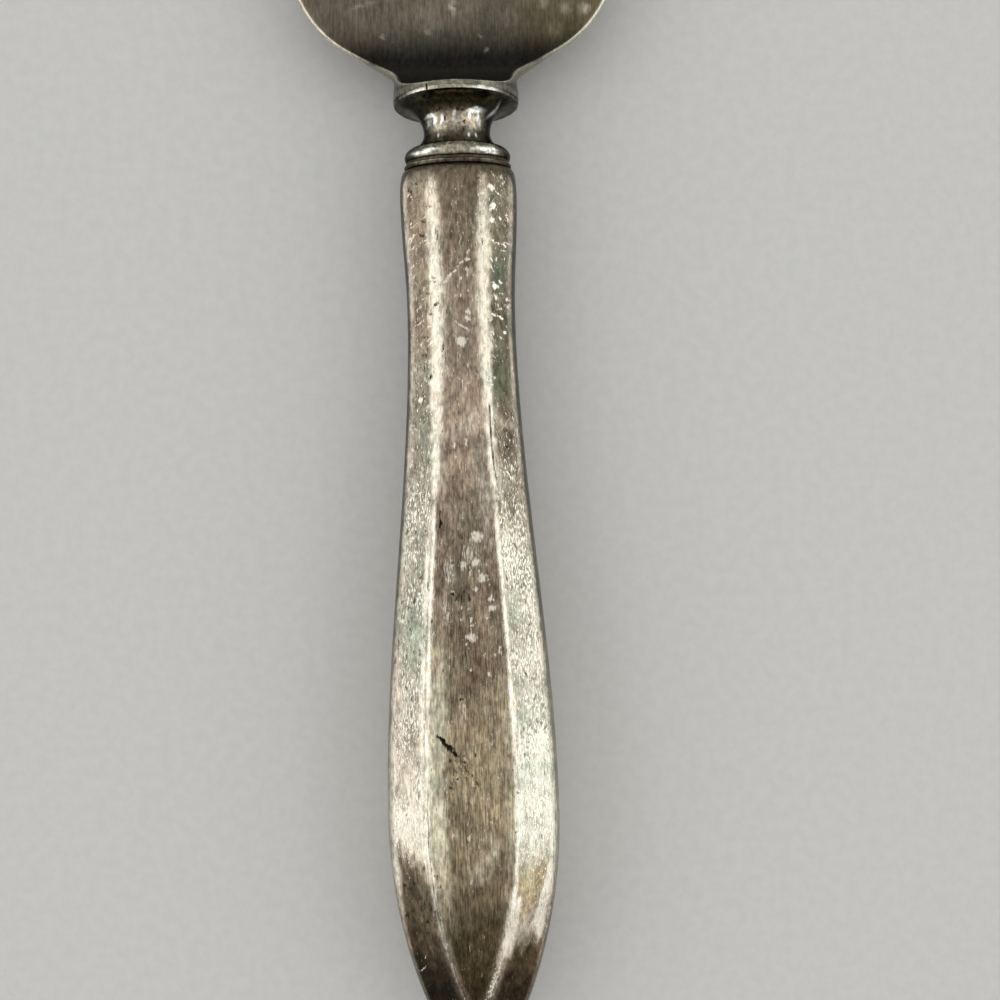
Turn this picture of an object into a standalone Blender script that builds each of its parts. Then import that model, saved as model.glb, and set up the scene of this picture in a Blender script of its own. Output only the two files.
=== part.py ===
"""Hollow-handled butter spreader.

A broad flat blade on an oval neck, with a tang that is cemented into a panelled handle of two soldered
shells. The tool lies along Y with the blade towards +Y. Its collar and the belly of its handle rest on Z = 0,
and the origin is under the middle of its length. Lengths are in metres.
"""

from math import asin, cos, pi, radians, sin, sqrt, tan

import bmesh
import bpy

# Height of the tool's axis: the collar's oval and the belly of the handle are both this high from the middle
AXIS_HEIGHT = 0.00535

# Handle, in plan. The shoulder and the waist are placed from its mouth, the belly from its tip
HANDLE_LENGTH = 0.0866
MOUTH_WIDTH = 0.0101
SHOULDER_WIDTH = 0.0110
SHOULDER_RUN = 0.0026
WAIST_WIDTH = 0.01015
WAIST_AT = 0.0135
BELLY_WIDTH = 0.0161
BELLY_TO_TIP = 0.0261
NOSE_WIDTH = 0.0008

# Handle, in side view
MOUTH_THICKNESS = 0.0060
WAIST_THICKNESS = 0.0070
NOSE_THICKNESS = 0.0022
REST_LAND = 0.0120

# Panels of the handle
PANEL_MOUTH_WIDTH = 0.0047
PANEL_WAIST_WIDTH = 0.0043
PANEL_BELLY_WIDTH = 0.0081
RIDGE_LENGTH = 0.0078
RIDGE_WIDTH = 0.0001
SIDE_INSET = 0.0007
SIDE_SHARE = 0.55
FRONT_CROWN = 0.0003

# Shells, the solder between them and the solid metal at the tip
SHELL_WALL = 0.0006
SEAM_FILM = 0.0003
TIP_SOLID = 0.0050

# Mouth cap and the solder that joins it to the bolster
CAP_HEIGHT = 0.0005
CAP_DEPTH = 0.0040
FILM_INSET = 0.0003
MOUTH_FILM = 0.00025

# Bolster: bead, waist and flange
BEAD_HEIGHT = 0.0013
BEAD_WIDTH = 0.0101
BEAD_THICKNESS = 0.0062
NECK_LENGTH = 0.0060
NECK_WAIST_WIDTH = 0.0070
NECK_WAIST_THICKNESS = 0.0058
NECK_WAIST_RUN = 0.0014
COLLAR_WIDTH = 0.0118
FLANGE_THICKNESS = 0.00035
ROOT_FILM = 0.00025

# Blade, with distances taken from its seat on the bolster towards its tip
BLADE_LENGTH = 0.0620
BLADE_WIDTH = 0.0310
BLADE_THICKNESS = 0.0011
BLADE_END_FLAT = 0.0012
ROOT_WIDTH = 0.0114
ROOT_LAND = 0.0003
ROOT_FILLET = 0.0016
WIDEST_AT = 0.0139
SHOULDER_RADIUS = 0.0105
SHOULDER_SLOPE = radians(30)
SIDE_RADIUS = 0.240
EDGE_BEVEL_WIDTH = 0.0007
EDGE_BEVEL_DEPTH = 0.00035

# Tang
TANG_WIDTH = 0.0034
TANG_THICKNESS = 0.0018
TANG_DEPTH = 0.0400

# Gap between pieces that fit in each other
FIT = 0.0003

# Facets round an oval, round one corner of the blade's section, and along the long curves
OVAL_SEGMENTS = 40
CORNER_SEGMENTS = 6
CURVE_STEPS = 8

# Shape ratios: how high the bow of a side wall stands and how far it falls in, the turn of the bead's round
# from its middle to its foot, the share of the root's hollow in which its oval becomes a plate, the most of a
# section that its corner may take, and the edge angle above which a surface isn't shaded smooth
BOW_HEIGHT_SHARE = 0.6
BOW_FALL_SHARE = 0.25
BEAD_TURN = radians(65)
FLATTEN_SHARE = 0.5
CORNER_LIMIT = 0.99
SHARP_ANGLE = radians(28)

# Distance under which doubled points are one
WELD_DISTANCE = 0.000001

# Places along the tool that follow from the sizes above
OVERALL_LENGTH = HANDLE_LENGTH + NECK_LENGTH + FLANGE_THICKNESS + ROOT_FILM + BLADE_LENGTH
MOUTH_Y = HANDLE_LENGTH - OVERALL_LENGTH / 2
BEAD_Y = MOUTH_Y + CAP_HEIGHT + MOUTH_FILM
NECK_WAIST_Y = BEAD_Y + BEAD_HEIGHT + NECK_WAIST_RUN
COLLAR_Y = MOUTH_Y + NECK_LENGTH
ROOT_FILM_Y = COLLAR_Y + FLANGE_THICKNESS
ROOT_Y = ROOT_FILM_Y + ROOT_FILM
BELLY_AT = HANDLE_LENGTH - BELLY_TO_TIP
PANEL_APEX_AT = HANDLE_LENGTH - RIDGE_LENGTH
CAVITY_END = HANDLE_LENGTH - TIP_SOLID
BELLY_FLAT_START = BELLY_AT - REST_LAND / 2
BELLY_FLAT_END = BELLY_AT + REST_LAND / 2


def clear_scene():
    """Remove every object, so that the script can run again in the same file."""
    for thing in list(bpy.data.objects):
        bpy.data.objects.remove(thing, do_unlink=True)


def new_collection(name):
    """A collection of this name in the scene."""
    group = bpy.data.collections.new(name)
    bpy.context.scene.collection.children.link(group)
    return group


def new_material(name, colour, roughness, metallic):
    """A Principled material of one colour."""
    material = bpy.data.materials.new(name)
    material.use_nodes = True
    shader = material.node_tree.nodes["Principled BSDF"]
    shader.inputs["Base Color"].default_value = (*colour, 1.0)
    shader.inputs["Roughness"].default_value = roughness
    shader.inputs["Metallic"].default_value = metallic
    return material


def ease(start, end, share):
    """From start to end along a curve that is level at both ends."""
    return start + (end - start) * share * share * (3 - 2 * share)


def arch(start, end, run, distance):
    """Along a circular arc that leaves start level and reaches end after run."""
    drop = start - end
    radius = (run * run + drop * drop) / (2 * drop)
    return start - radius + sqrt(radius * radius - distance * distance)


def spread(start, end, steps):
    """Evenly spaced places from start up to, and without, end."""
    return [start + (end - start) * i / steps for i in range(steps)]


# Handle


def handle_half_width(s):
    """Half the handle's width at a distance s from its mouth."""
    if s <= SHOULDER_RUN:
        rise = sqrt(max(0.0, 1 - (1 - s / SHOULDER_RUN) ** 2))
        return (MOUTH_WIDTH + (SHOULDER_WIDTH - MOUTH_WIDTH) * rise) / 2
    if s <= WAIST_AT:
        return ease(SHOULDER_WIDTH, WAIST_WIDTH, (s - SHOULDER_RUN) / (WAIST_AT - SHOULDER_RUN)) / 2
    if s <= BELLY_AT:
        return ease(WAIST_WIDTH, BELLY_WIDTH, (s - WAIST_AT) / (BELLY_AT - WAIST_AT)) / 2
    return arch(BELLY_WIDTH / 2, NOSE_WIDTH / 2, BELLY_TO_TIP, s - BELLY_AT)


def handle_half_thickness(s):
    """Half the handle's thickness at a distance s from its mouth, level along the land it rests on."""
    if s <= SHOULDER_RUN:
        rise = sqrt(max(0.0, 1 - (1 - s / SHOULDER_RUN) ** 2))
        return (MOUTH_THICKNESS + (WAIST_THICKNESS - MOUTH_THICKNESS) * rise) / 2
    if s <= WAIST_AT:
        return WAIST_THICKNESS / 2
    if s <= BELLY_FLAT_START:
        return ease(WAIST_THICKNESS / 2, AXIS_HEIGHT, (s - WAIST_AT) / (BELLY_FLAT_START - WAIST_AT))
    if s <= BELLY_FLAT_END:
        return AXIS_HEIGHT
    share = (s - BELLY_FLAT_END) / (HANDLE_LENGTH - BELLY_FLAT_END)
    return AXIS_HEIGHT - (AXIS_HEIGHT - NOSE_THICKNESS / 2) * share * share


def panel_half_width(s):
    """Half the width of the middle panel, which ends in a pointed arch and runs on as a ridge."""
    if s <= WAIST_AT:
        return ease(PANEL_MOUTH_WIDTH, PANEL_WAIST_WIDTH, s / WAIST_AT) / 2
    if s <= BELLY_AT:
        return ease(PANEL_WAIST_WIDTH, PANEL_BELLY_WIDTH, (s - WAIST_AT) / (BELLY_AT - WAIST_AT)) / 2
    if s < PANEL_APEX_AT:
        return arch(PANEL_BELLY_WIDTH / 2, RIDGE_WIDTH / 2, PANEL_APEX_AT - BELLY_AT, s - BELLY_AT)
    return RIDGE_WIDTH / 2


def half_section(s, inset, crown):
    """The (x, height) points of half a handle section, from one seam over the panel to the other.

    The section is drawn in by inset from the outer skin. A side wall rises from each seam to an arris, a
    bevel leans in from there to the middle panel, and the panel is crowned.
    """
    half_width = handle_half_width(s)
    thickness = handle_half_thickness(s)
    panel = panel_half_width(s)
    arris = half_width - SIDE_INSET * half_width / (half_width + 2 * SIDE_INSET)
    lean = (thickness * (1 - SIDE_SHARE)) / (arris - panel)
    bevel_length = sqrt(1 + lean * lean)
    arris_drop = inset * (bevel_length - lean)
    panel_draw = inset * (bevel_length - 1) / lean
    arris_height = thickness * SIDE_SHARE - arris_drop
    inner_panel = max(panel - panel_draw, RIDGE_WIDTH / 2)
    rise = crown * panel / (PANEL_BELLY_WIDTH / 2)
    right = [
        (half_width - inset, 0.0),
        (half_width - inset - (half_width - arris) * BOW_FALL_SHARE, arris_height * BOW_HEIGHT_SHARE),
        (arris - inset, arris_height),
        (inner_panel, thickness - inset - rise),
        (inner_panel / 2, thickness - inset - rise / 4),
    ]
    left = [(-x, height) for x, height in reversed(right)]
    return right + [(0.0, thickness - inset)] + left


def handle_stations():
    """Distances from the mouth at which the handle's sections are taken."""
    return [
        *spread(0.0, SHOULDER_RUN, CURVE_STEPS // 2),
        *spread(SHOULDER_RUN, WAIST_AT, CURVE_STEPS // 2),
        *spread(WAIST_AT, BELLY_FLAT_START, CURVE_STEPS * 3 // 2),
        BELLY_FLAT_START,
        BELLY_AT,
        *spread(BELLY_FLAT_END, PANEL_APEX_AT, CURVE_STEPS),
        PANEL_APEX_AT,
        CAVITY_END,
        *spread(CAVITY_END, HANDLE_LENGTH, CURVE_STEPS // 2)[1:],
        HANDLE_LENGTH,
    ]


def shell_mesh(side, crown):
    """Half of the hollow handle. side is 1 for the front and -1 for the back."""
    bm = bmesh.new()
    seam = SEAM_FILM / 2

    def row(s, inset):
        points = half_section(s, inset, crown)
        return [bm.verts.new((x, MOUTH_Y - s, AXIS_HEIGHT + side * max(z, seam))) for x, z in points]

    stations = handle_stations()
    outer = [row(s, 0.0) for s in stations]
    inner = [row(s, SHELL_WALL) for s in stations if s <= CAVITY_END]
    last = len(inner) - 1
    for skin in (outer, inner):
        for near, far in zip(skin, skin[1:]):
            for i in range(len(near) - 1):
                bm.faces.new((near[i], near[i + 1], far[i + 1], far[i]))
    for i in range(last):
        for edge in (0, -1):
            bm.faces.new((outer[i][edge], inner[i][edge], inner[i + 1][edge], outer[i + 1][edge]))
    for i in range(len(outer[0]) - 1):
        bm.faces.new((outer[0][i], outer[0][i + 1], inner[0][i + 1], inner[0][i]))
    bm.faces.new(inner[last])
    step = (outer[last][0], inner[last][0], inner[last][-1], outer[last][-1])
    bm.faces.new((*step, outer[last + 1][-1], outer[last + 1][0]))
    for near, far in zip(outer[last + 1 :], outer[last + 2 :]):
        bm.faces.new((near[0], near[-1], far[-1], far[0]))
    bm.faces.new(outer[-1])
    return finished_mesh(bm)


# General shapes


def finished_mesh(bm):
    """The mesh of bm with its faces turned outwards."""
    bmesh.ops.recalc_face_normals(bm, faces=bm.faces)
    mesh = bpy.data.meshes.new("shape")
    bm.to_mesh(mesh)
    bm.free()
    return mesh


def loft_mesh(rings):
    """A solid through rings of points that have as many points each."""
    bm = bmesh.new()
    rows = [[bm.verts.new(point) for point in ring] for ring in rings]
    for near, far in zip(rows, rows[1:]):
        for i in range(len(near)):
            j = (i + 1) % len(near)
            bm.faces.new((near[i], near[j], far[j], far[i]))
    bm.faces.new(rows[0])
    bm.faces.new(rows[-1])
    return finished_mesh(bm)


def oval(half_width, half_height, y):
    """A ring of points on an upright oval round the tool's axis."""
    angles = [2 * pi * i / OVAL_SEGMENTS for i in range(OVAL_SEGMENTS)]
    return [(half_width * cos(a), y, AXIS_HEIGHT + half_height * sin(a)) for a in angles]


def add_part(name, mesh, material, group):
    """A named object that shows mesh, smooth where its faces meet gently."""
    mesh.name = name
    mesh.shade_smooth()
    mesh.set_sharp_from_angle(angle=SHARP_ANGLE)
    mesh.materials.append(material)
    part = bpy.data.objects.new(name, mesh)
    group.objects.link(part)
    return part


def add_boolean(part, operation, other):
    """Cut or join part with other."""
    modifier = part.modifiers.new(operation.lower(), "BOOLEAN")
    modifier.operation = operation
    modifier.object = other


def add_bar(name, width, thickness, start_y, end_y, group):
    """A straight bar along the tool's axis, kept out of the finished tool as a guide for Booleans."""
    bpy.ops.mesh.primitive_cube_add(size=1, location=(0, (start_y + end_y) / 2, AXIS_HEIGHT))
    bar = bpy.context.object
    bar.name = name
    bar.scale = (width, end_y - start_y, thickness)
    bar.hide_render = True
    bar.display_type = "WIRE"
    for owner in list(bar.users_collection):
        owner.objects.unlink(bar)
    group.objects.link(bar)
    return bar


# Bolster and mouth


def cap_mesh():
    """An oval plug in the mouth of the handle, with a rim that closes the mouth."""
    draw_in = SHELL_WALL + FIT
    plug = (MOUTH_WIDTH / 2 - draw_in, MOUTH_THICKNESS / 2 - draw_in)
    rim = (MOUTH_WIDTH / 2, MOUTH_THICKNESS / 2)
    return loft_mesh(
        [
            oval(*plug, MOUTH_Y - CAP_DEPTH),
            oval(*plug, MOUTH_Y),
            oval(*rim, MOUTH_Y),
            oval(*rim, MOUTH_Y + CAP_HEIGHT),
        ]
    )


def bolster_mesh():
    """The neck: a bead, a waist, and a hollow flare out to the flange that carries the blade."""
    bead_round = BEAD_HEIGHT / 2
    core = (BEAD_WIDTH / 2 - bead_round, BEAD_THICKNESS / 2 - bead_round)
    rings = []
    for i in range(CURVE_STEPS + 1):
        turn = BEAD_TURN * (2 * i / CURVE_STEPS - 1)
        bulge = bead_round * cos(turn)
        y = BEAD_Y + bead_round * (1 + sin(turn) / sin(BEAD_TURN))
        rings.append(oval(core[0] + bulge, core[1] + bulge, y))
    waist = (NECK_WAIST_WIDTH / 2, NECK_WAIST_THICKNESS / 2)
    rings.append(oval(*waist, BEAD_Y + BEAD_HEIGHT))
    rise = (COLLAR_WIDTH / 2 - waist[0], AXIS_HEIGHT - waist[1])
    for i in range(CURVE_STEPS + 1):
        turn = pi / 2 * i / CURVE_STEPS
        flare = 1 - cos(turn)
        y = NECK_WAIST_Y + (COLLAR_Y - NECK_WAIST_Y) * sin(turn)
        rings.append(oval(waist[0] + rise[0] * flare, waist[1] + rise[1] * flare, y))
    rings.append(oval(COLLAR_WIDTH / 2, AXIS_HEIGHT, ROOT_FILM_Y))
    return loft_mesh(rings)


def film_mesh(half_width, half_height, start_y, end_y):
    """A flat oval film of solder."""
    return loft_mesh([oval(half_width, half_height, start_y), oval(half_width, half_height, end_y)])


def seam_mesh():
    """The strip of solder along both seams and round the tip."""
    stations = handle_stations()
    outer = [(handle_half_width(s), MOUTH_Y - s) for s in stations]
    inner = [(handle_half_width(s) - SHELL_WALL, MOUTH_Y - s) for s in stations if s <= CAVITY_END]
    outline = outer + [(-x, y) for x, y in reversed(outer)]
    outline += [(-x, y) for x, y in inner] + list(reversed(inner))
    curve = bpy.data.curves.new("seam_outline", "CURVE")
    curve.dimensions = "2D"
    curve.fill_mode = "BOTH"
    curve.extrude = SEAM_FILM / 2
    spline = curve.splines.new("POLY")
    spline.points.add(len(outline) - 1)
    for point, (x, y) in zip(spline.points, outline):
        point.co = (x, y, 0.0, 1.0)
    spline.use_cyclic_u = True
    strip = bpy.data.objects.new("seam_outline", curve)
    bpy.context.scene.collection.objects.link(strip)
    mesh = bpy.data.meshes.new_from_object(strip.evaluated_get(bpy.context.evaluated_depsgraph_get()))
    bpy.data.objects.remove(strip, do_unlink=True)
    bm = bmesh.new()
    bm.from_mesh(mesh)
    bpy.data.meshes.remove(mesh)
    bmesh.ops.remove_doubles(bm, verts=bm.verts, dist=WELD_DISTANCE)
    for vertex in bm.verts:
        vertex.co.z += AXIS_HEIGHT
    return finished_mesh(bm)


def cement_mesh():
    """The cement in the handle, from the plug of the cap to the end of the hollow."""
    start = CAP_DEPTH + FIT
    end = CAVITY_END - FIT
    stations = [start, *[s for s in handle_stations() if start < s < end], end]
    rings = []
    for s in stations:
        front = half_section(s, SHELL_WALL + FIT, FRONT_CROWN)
        back = half_section(s, SHELL_WALL + FIT, 0.0)[-2:0:-1]
        points = front + [(x, -z) for x, z in back]
        rings.append([(x, MOUTH_Y - s, AXIS_HEIGHT + z) for x, z in points])
    return loft_mesh(rings)


# Blade


def shoulder_line():
    """Where the blade's sloping line leaves the root's side and where it meets the shoulder's arc."""
    middle = BLADE_WIDTH / 2 - SHOULDER_RADIUS
    arc_x = middle + SHOULDER_RADIUS * sin(SHOULDER_SLOPE)
    arc_t = WIDEST_AT - SHOULDER_RADIUS * cos(SHOULDER_SLOPE)
    root_t = arc_t - (arc_x - ROOT_WIDTH / 2) * tan(SHOULDER_SLOPE)
    return root_t, arc_x, arc_t


def tip_radius():
    """Radius of the blade's round end, which runs smoothly into its long sides."""
    side_centre = SIDE_RADIUS - BLADE_WIDTH / 2
    run = BLADE_LENGTH - WIDEST_AT
    return (SIDE_RADIUS**2 - side_centre**2 - run**2) / (2 * (SIDE_RADIUS - run))


def tip_start():
    """Where the long sides run into the round end."""
    radius = tip_radius()
    centre = BLADE_LENGTH - radius
    return centre + radius * (centre - WIDEST_AT) / (SIDE_RADIUS - radius)


def blade_half_width(t):
    """Half the blade's width at a distance t from its seat."""
    root_t, arc_x, arc_t = shoulder_line()
    reach = ROOT_FILLET * tan((pi / 2 - SHOULDER_SLOPE) / 2)
    fillet_end = root_t + reach * sin(SHOULDER_SLOPE)
    if t <= root_t - reach:
        return ROOT_WIDTH / 2
    if t <= fillet_end:
        depth = t - (root_t - reach)
        return ROOT_WIDTH / 2 + ROOT_FILLET - sqrt(ROOT_FILLET**2 - depth**2)
    if t <= arc_t:
        return arc_x - (arc_t - t) / tan(SHOULDER_SLOPE)
    if t <= WIDEST_AT:
        return BLADE_WIDTH / 2 - SHOULDER_RADIUS + sqrt(SHOULDER_RADIUS**2 - (WIDEST_AT - t) ** 2)
    if t <= tip_start():
        return BLADE_WIDTH / 2 - SIDE_RADIUS + sqrt(SIDE_RADIUS**2 - (t - WIDEST_AT) ** 2)
    radius = tip_radius()
    return sqrt(max((BLADE_END_FLAT / 2) ** 2, radius**2 - (t - (BLADE_LENGTH - radius)) ** 2))


def hollow_end():
    """Where the hollow ramp of the root runs out into the flat of the blade."""
    return ROOT_LAND + AXIS_HEIGHT - BLADE_THICKNESS / 2


def blade_half_thickness(t):
    """Half the blade's thickness: the collar's height at the seat, then a round hollow down to the flat."""
    radius = AXIS_HEIGHT - BLADE_THICKNESS / 2
    if t <= ROOT_LAND:
        return AXIS_HEIGHT
    if t >= hollow_end():
        return BLADE_THICKNESS / 2
    return AXIS_HEIGHT - sqrt(radius**2 - (hollow_end() - t) ** 2)


def blade_ring(t):
    """A section of the blade: the collar's oval at the seat, and a flat plate with soft edges further on."""
    flat = min(1.0, max(0.0, (t - ROOT_LAND) / (hollow_end() * FLATTEN_SHARE)))
    collar = COLLAR_WIDTH / 2
    half_width = ease(collar, blade_half_width(t), flat)
    half_height = blade_half_thickness(t)
    corner_x = ease(CORNER_LIMIT * half_width, min(EDGE_BEVEL_WIDTH, CORNER_LIMIT * half_width), flat)
    corner_z = ease(CORNER_LIMIT * half_height, EDGE_BEVEL_DEPTH, flat)
    ring = []
    for quarter, (sign_x, sign_z) in enumerate(((1, 1), (-1, 1), (-1, -1), (1, -1))):
        for i in range(CORNER_SEGMENTS + 1):
            turn = pi / 2 * (quarter + i / CORNER_SEGMENTS)
            x = sign_x * (half_width - corner_x) + corner_x * cos(turn)
            z = sign_z * (half_height - corner_z) + corner_z * sin(turn)
            ring.append((x, ROOT_Y + t, AXIS_HEIGHT + z))
    return ring


def blade_mesh():
    """The blade's root and paddle."""
    radius = tip_radius()
    start = tip_start()
    tip_turns = spread(asin((start - BLADE_LENGTH + radius) / radius), pi / 2, CURVE_STEPS * 2)
    stations = [
        0.0,
        *spread(ROOT_LAND, hollow_end(), CURVE_STEPS * 2),
        *spread(hollow_end(), WIDEST_AT, CURVE_STEPS),
        *spread(WIDEST_AT, start, CURVE_STEPS),
        *[BLADE_LENGTH - radius + radius * sin(turn) for turn in tip_turns],
        BLADE_LENGTH,
    ]
    return loft_mesh([blade_ring(t) for t in stations])


def build():
    """Make every piece of the tool."""
    clear_scene()
    tool = new_collection("butter_spreader")
    cutters = new_collection("cutters")
    plate = new_material("silver_plate", (0.50, 0.44, 0.38), 0.34, 1.0)
    neck_plate = new_material("polished_plate", (0.45, 0.42, 0.36), 0.18, 1.0)
    solder = new_material("solder", (0.36, 0.34, 0.31), 0.5, 1.0)
    cement = new_material("cement", (0.16, 0.10, 0.07), 0.9, 0.0)

    tang_end = MOUTH_Y - TANG_DEPTH
    tang_root = ROOT_Y + ROOT_LAND
    tang = add_bar("tang_bar", TANG_WIDTH, TANG_THICKNESS, tang_end, tang_root, cutters)
    slot_size = (TANG_WIDTH + 2 * FIT, TANG_THICKNESS + 2 * FIT)
    slot = add_bar("tang_slot", *slot_size, tang_end - FIT, tang_root, cutters)

    blade = add_part("blade", blade_mesh(), plate, tool)
    add_boolean(blade, "UNION", tang)

    collar_film = (COLLAR_WIDTH / 2 - FILM_INSET, AXIS_HEIGHT - FILM_INSET, ROOT_FILM_Y, ROOT_Y)
    cap_top = MOUTH_Y + CAP_HEIGHT
    cap_film = (MOUTH_WIDTH / 2 - FILM_INSET, MOUTH_THICKNESS / 2 - FILM_INSET, cap_top, BEAD_Y)
    slotted = [
        add_part("root_solder", film_mesh(*collar_film), solder, tool),
        add_part("bolster", bolster_mesh(), neck_plate, tool),
        add_part("mouth_solder", film_mesh(*cap_film), solder, tool),
        add_part("mouth_cap", cap_mesh(), plate, tool),
        add_part("cement_filling", cement_mesh(), cement, tool),
    ]
    for part in slotted:
        add_boolean(part, "DIFFERENCE", slot)

    add_part("front_shell", shell_mesh(1, FRONT_CROWN), plate, tool)
    add_part("back_shell", shell_mesh(-1, 0.0), plate, tool)
    add_part("seam_solder", seam_mesh(), solder, tool)


build()
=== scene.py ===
"""Looks of a hollow-handled butter spreader in worn silver plate under a brown film of tarnish.

Each sub-assembly of the tool is a class that makes its meshes and paints them, and each finish is a class
that makes a material. Lengths are in metres, and the places of tones and marks are in millimetres. The tool
lies along Y with its blade towards +Y.
"""

import logging
import math
from dataclasses import dataclass, fields
from enum import Enum
from functools import reduce
from typing import Self

import bmesh
import bpy
import numpy as np
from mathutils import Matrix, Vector, noise


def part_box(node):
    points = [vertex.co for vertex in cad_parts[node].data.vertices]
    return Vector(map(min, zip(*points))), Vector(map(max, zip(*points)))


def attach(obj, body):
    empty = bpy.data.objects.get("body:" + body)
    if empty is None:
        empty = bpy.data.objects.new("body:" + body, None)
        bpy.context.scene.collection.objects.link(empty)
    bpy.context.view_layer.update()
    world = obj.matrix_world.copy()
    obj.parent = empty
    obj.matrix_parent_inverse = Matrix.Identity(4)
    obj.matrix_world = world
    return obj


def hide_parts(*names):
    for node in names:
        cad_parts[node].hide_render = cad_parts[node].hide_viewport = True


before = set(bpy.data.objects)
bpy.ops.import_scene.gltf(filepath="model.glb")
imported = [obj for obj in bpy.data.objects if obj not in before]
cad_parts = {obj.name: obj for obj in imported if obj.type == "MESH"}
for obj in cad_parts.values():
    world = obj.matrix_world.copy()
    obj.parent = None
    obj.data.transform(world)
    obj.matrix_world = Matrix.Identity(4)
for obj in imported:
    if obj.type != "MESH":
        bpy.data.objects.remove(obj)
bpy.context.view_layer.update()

LOG = logging.getLogger("butter_spreader")

BODY = "root"
MM = 0.001
SHARP_ANGLE = math.radians(32)
MARK_FADE = (1.7, 0.15)

Array = np.ndarray
Triple = tuple[float, float, float]
Rgb = Triple
Tones = tuple[tuple[float, Rgb], ...]
Levels = tuple[tuple[float, float], ...]
Limits = tuple[float, float]
Faces = list[tuple[int, ...]]
Socket = bpy.types.NodeSocket
Material = bpy.types.Material
Piece = bpy.types.Object

# Colours of the plate, from bare metal to the darkest patina
SILVER: Rgb = (0.88, 0.825, 0.7)
PATINA: Rgb = (0.014, 0.012, 0.008)


class Slot(Enum):
    """Names of the tool's material slots."""

    BLADE = "blade_plate"
    NECK = "neck_plate"
    HANDLE = "handle_plate"
    SOLDER = "solder"


class Face(Enum):
    """The two faces of the tool, with the direction each one looks along Z."""

    FRONT = 1.0
    BACK = -1.0


# Curves


def ease(start: float, end: float, share: float) -> float:
    """From start to end along a curve that is level at both ends."""
    return start + (end - start) * share * share * (3 - 2 * share)


def arch(start: float, end: float, run: float, distance: float) -> float:
    """Height of a circular arc that starts level and falls.

    Args:
        start: Height at its start.
        end: Height at its end.
        run: How far it runs.
        distance: How far along it the height is taken.

    Returns:
        The height.
    """
    drop = start - end
    radius = (run * run + drop * drop) / (2 * drop)
    return start - radius + math.sqrt(max(0.0, radius * radius - distance * distance))


def step(values: Array, low: float, high: float) -> Array:
    """A soft step of values, 0 at low and 1 at high, whichever of the two is larger."""
    share = np.clip((np.asarray(values, float) - low) / (high - low), 0.0, 1.0)
    return share * share * (3 - 2 * share)


def window(values: Array, start: float, end: float, soft: float) -> Array:
    """1 from start to end and 0 outside, with edges that are soft wide."""
    return step(values, start - soft, start + soft) * step(values, end + soft, end - soft)


def ridge(values: Array, width: float | Array) -> Array:
    """A bell of values round 0 that falls off over width."""
    return np.exp(-((values / width) ** 2))


def bend(start: Array, corner: Array, end: Array, count: int) -> Array:
    """Points along a rounded corner from start to end, without the end itself."""
    share = np.linspace(0.0, 1.0, count, endpoint=False)[:, None]
    return start * (1 - share) ** 2 + corner * 2 * share * (1 - share) + end * share**2


def blend(tint: Array, colour: Rgb | Array, share: Array) -> Array:
    """Colours moved towards another colour by a share of 0 to 1 at each point."""
    return tint + (np.asarray(colour) - tint) * share[..., None]


def tones_at(places: Array, tones: Tones) -> Array:
    """Colours along a scale of tones, read at places in millimetres."""
    stops, colours = zip(*tones)
    return np.stack([np.interp(places, stops, channel) for channel in zip(*colours)], axis=-1)


def levels_at(places: Array, levels: Levels) -> Array:
    """Values along a scale of levels, read at places in millimetres."""
    return np.interp(places, *zip(*levels))


def clouds(across: Array, along: Array, size: float, seed: float) -> Array:
    """One of many cloudy noises from -1 to 1, at places in millimetres, with clouds of this size."""
    spots = zip(across.ravel() / size, along.ravel() / size)
    return np.array([noise.noise(Vector((x, y, seed))) for x, y in spots]).reshape(across.shape)


# Marks and meshes


class Row:
    """Something that is listed in rows of its values."""

    @classmethod
    def rows(cls, *rows: tuple) -> tuple[Self, ...]:
        """One for each row, which has the values in the order of the fields."""
        return tuple(cls(*row) for row in rows)


@dataclass(frozen=True)
class Mark(Row):
    """A worn spot, scratch or pit, in millimetres across the tool and from the mouth of the handle.

    Its width lies across the tool and its length along it, before it is turned. A faint mark has little
    strength.
    """

    across: float
    along: float
    width: float
    length: float
    turn: float = 0.0
    strength: float = 1.0

    def shown(self, across: Array, along: Array) -> Array:
        """How strongly the mark shows, which fades out from its middle.

        Args:
            across: Places across the tool.
            along: Places along the tool.

        Returns:
            One value for each place.
        """
        turn = math.radians(self.turn)
        right, down = across - self.across, along - self.along
        sideways = (right * math.cos(turn) + down * math.sin(turn)) / (self.width / 2)
        lengthways = (down * math.cos(turn) - right * math.sin(turn)) / (self.length / 2)
        return self.strength * step(np.hypot(sideways, lengthways), *MARK_FADE)


@dataclass(frozen=True)
class Scatter(Row):
    """Small marks strewn over a patch, with each of their values drawn between two limits."""

    seed: int
    count: int
    across: Limits
    along: Limits
    width: Limits
    length: Limits
    turn: Limits
    strength: Limits

    @property
    def marks(self) -> tuple[Mark, ...]:
        """The marks, which are the same each time."""
        draw = np.random.default_rng(self.seed)
        limits = (self.across, self.along, self.width, self.length, self.turn, self.strength)
        return tuple(Mark(*(draw.uniform(*pair) for pair in limits)) for _ in range(self.count))


@dataclass(frozen=True)
class Stain(Mark):
    """A soft patch where the tarnish has another tone."""

    tone: Rgb = SILVER


Marks = tuple[Mark, ...]
Scatters = tuple[Scatter, ...]
Stains = tuple[Stain, ...]


def scattered(scatters: Scatters) -> Marks:
    """The marks of several scatters."""
    return tuple(mark for scatter in scatters for mark in scatter.marks)


def marks_at(across: Array, along: Array, marks: Marks) -> Array:
    """How strongly the strongest of some marks shows at each place, in millimetres."""
    shown = (mark.shown(across, along) for mark in marks)
    return reduce(np.maximum, shown, np.zeros(across.shape))


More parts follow.
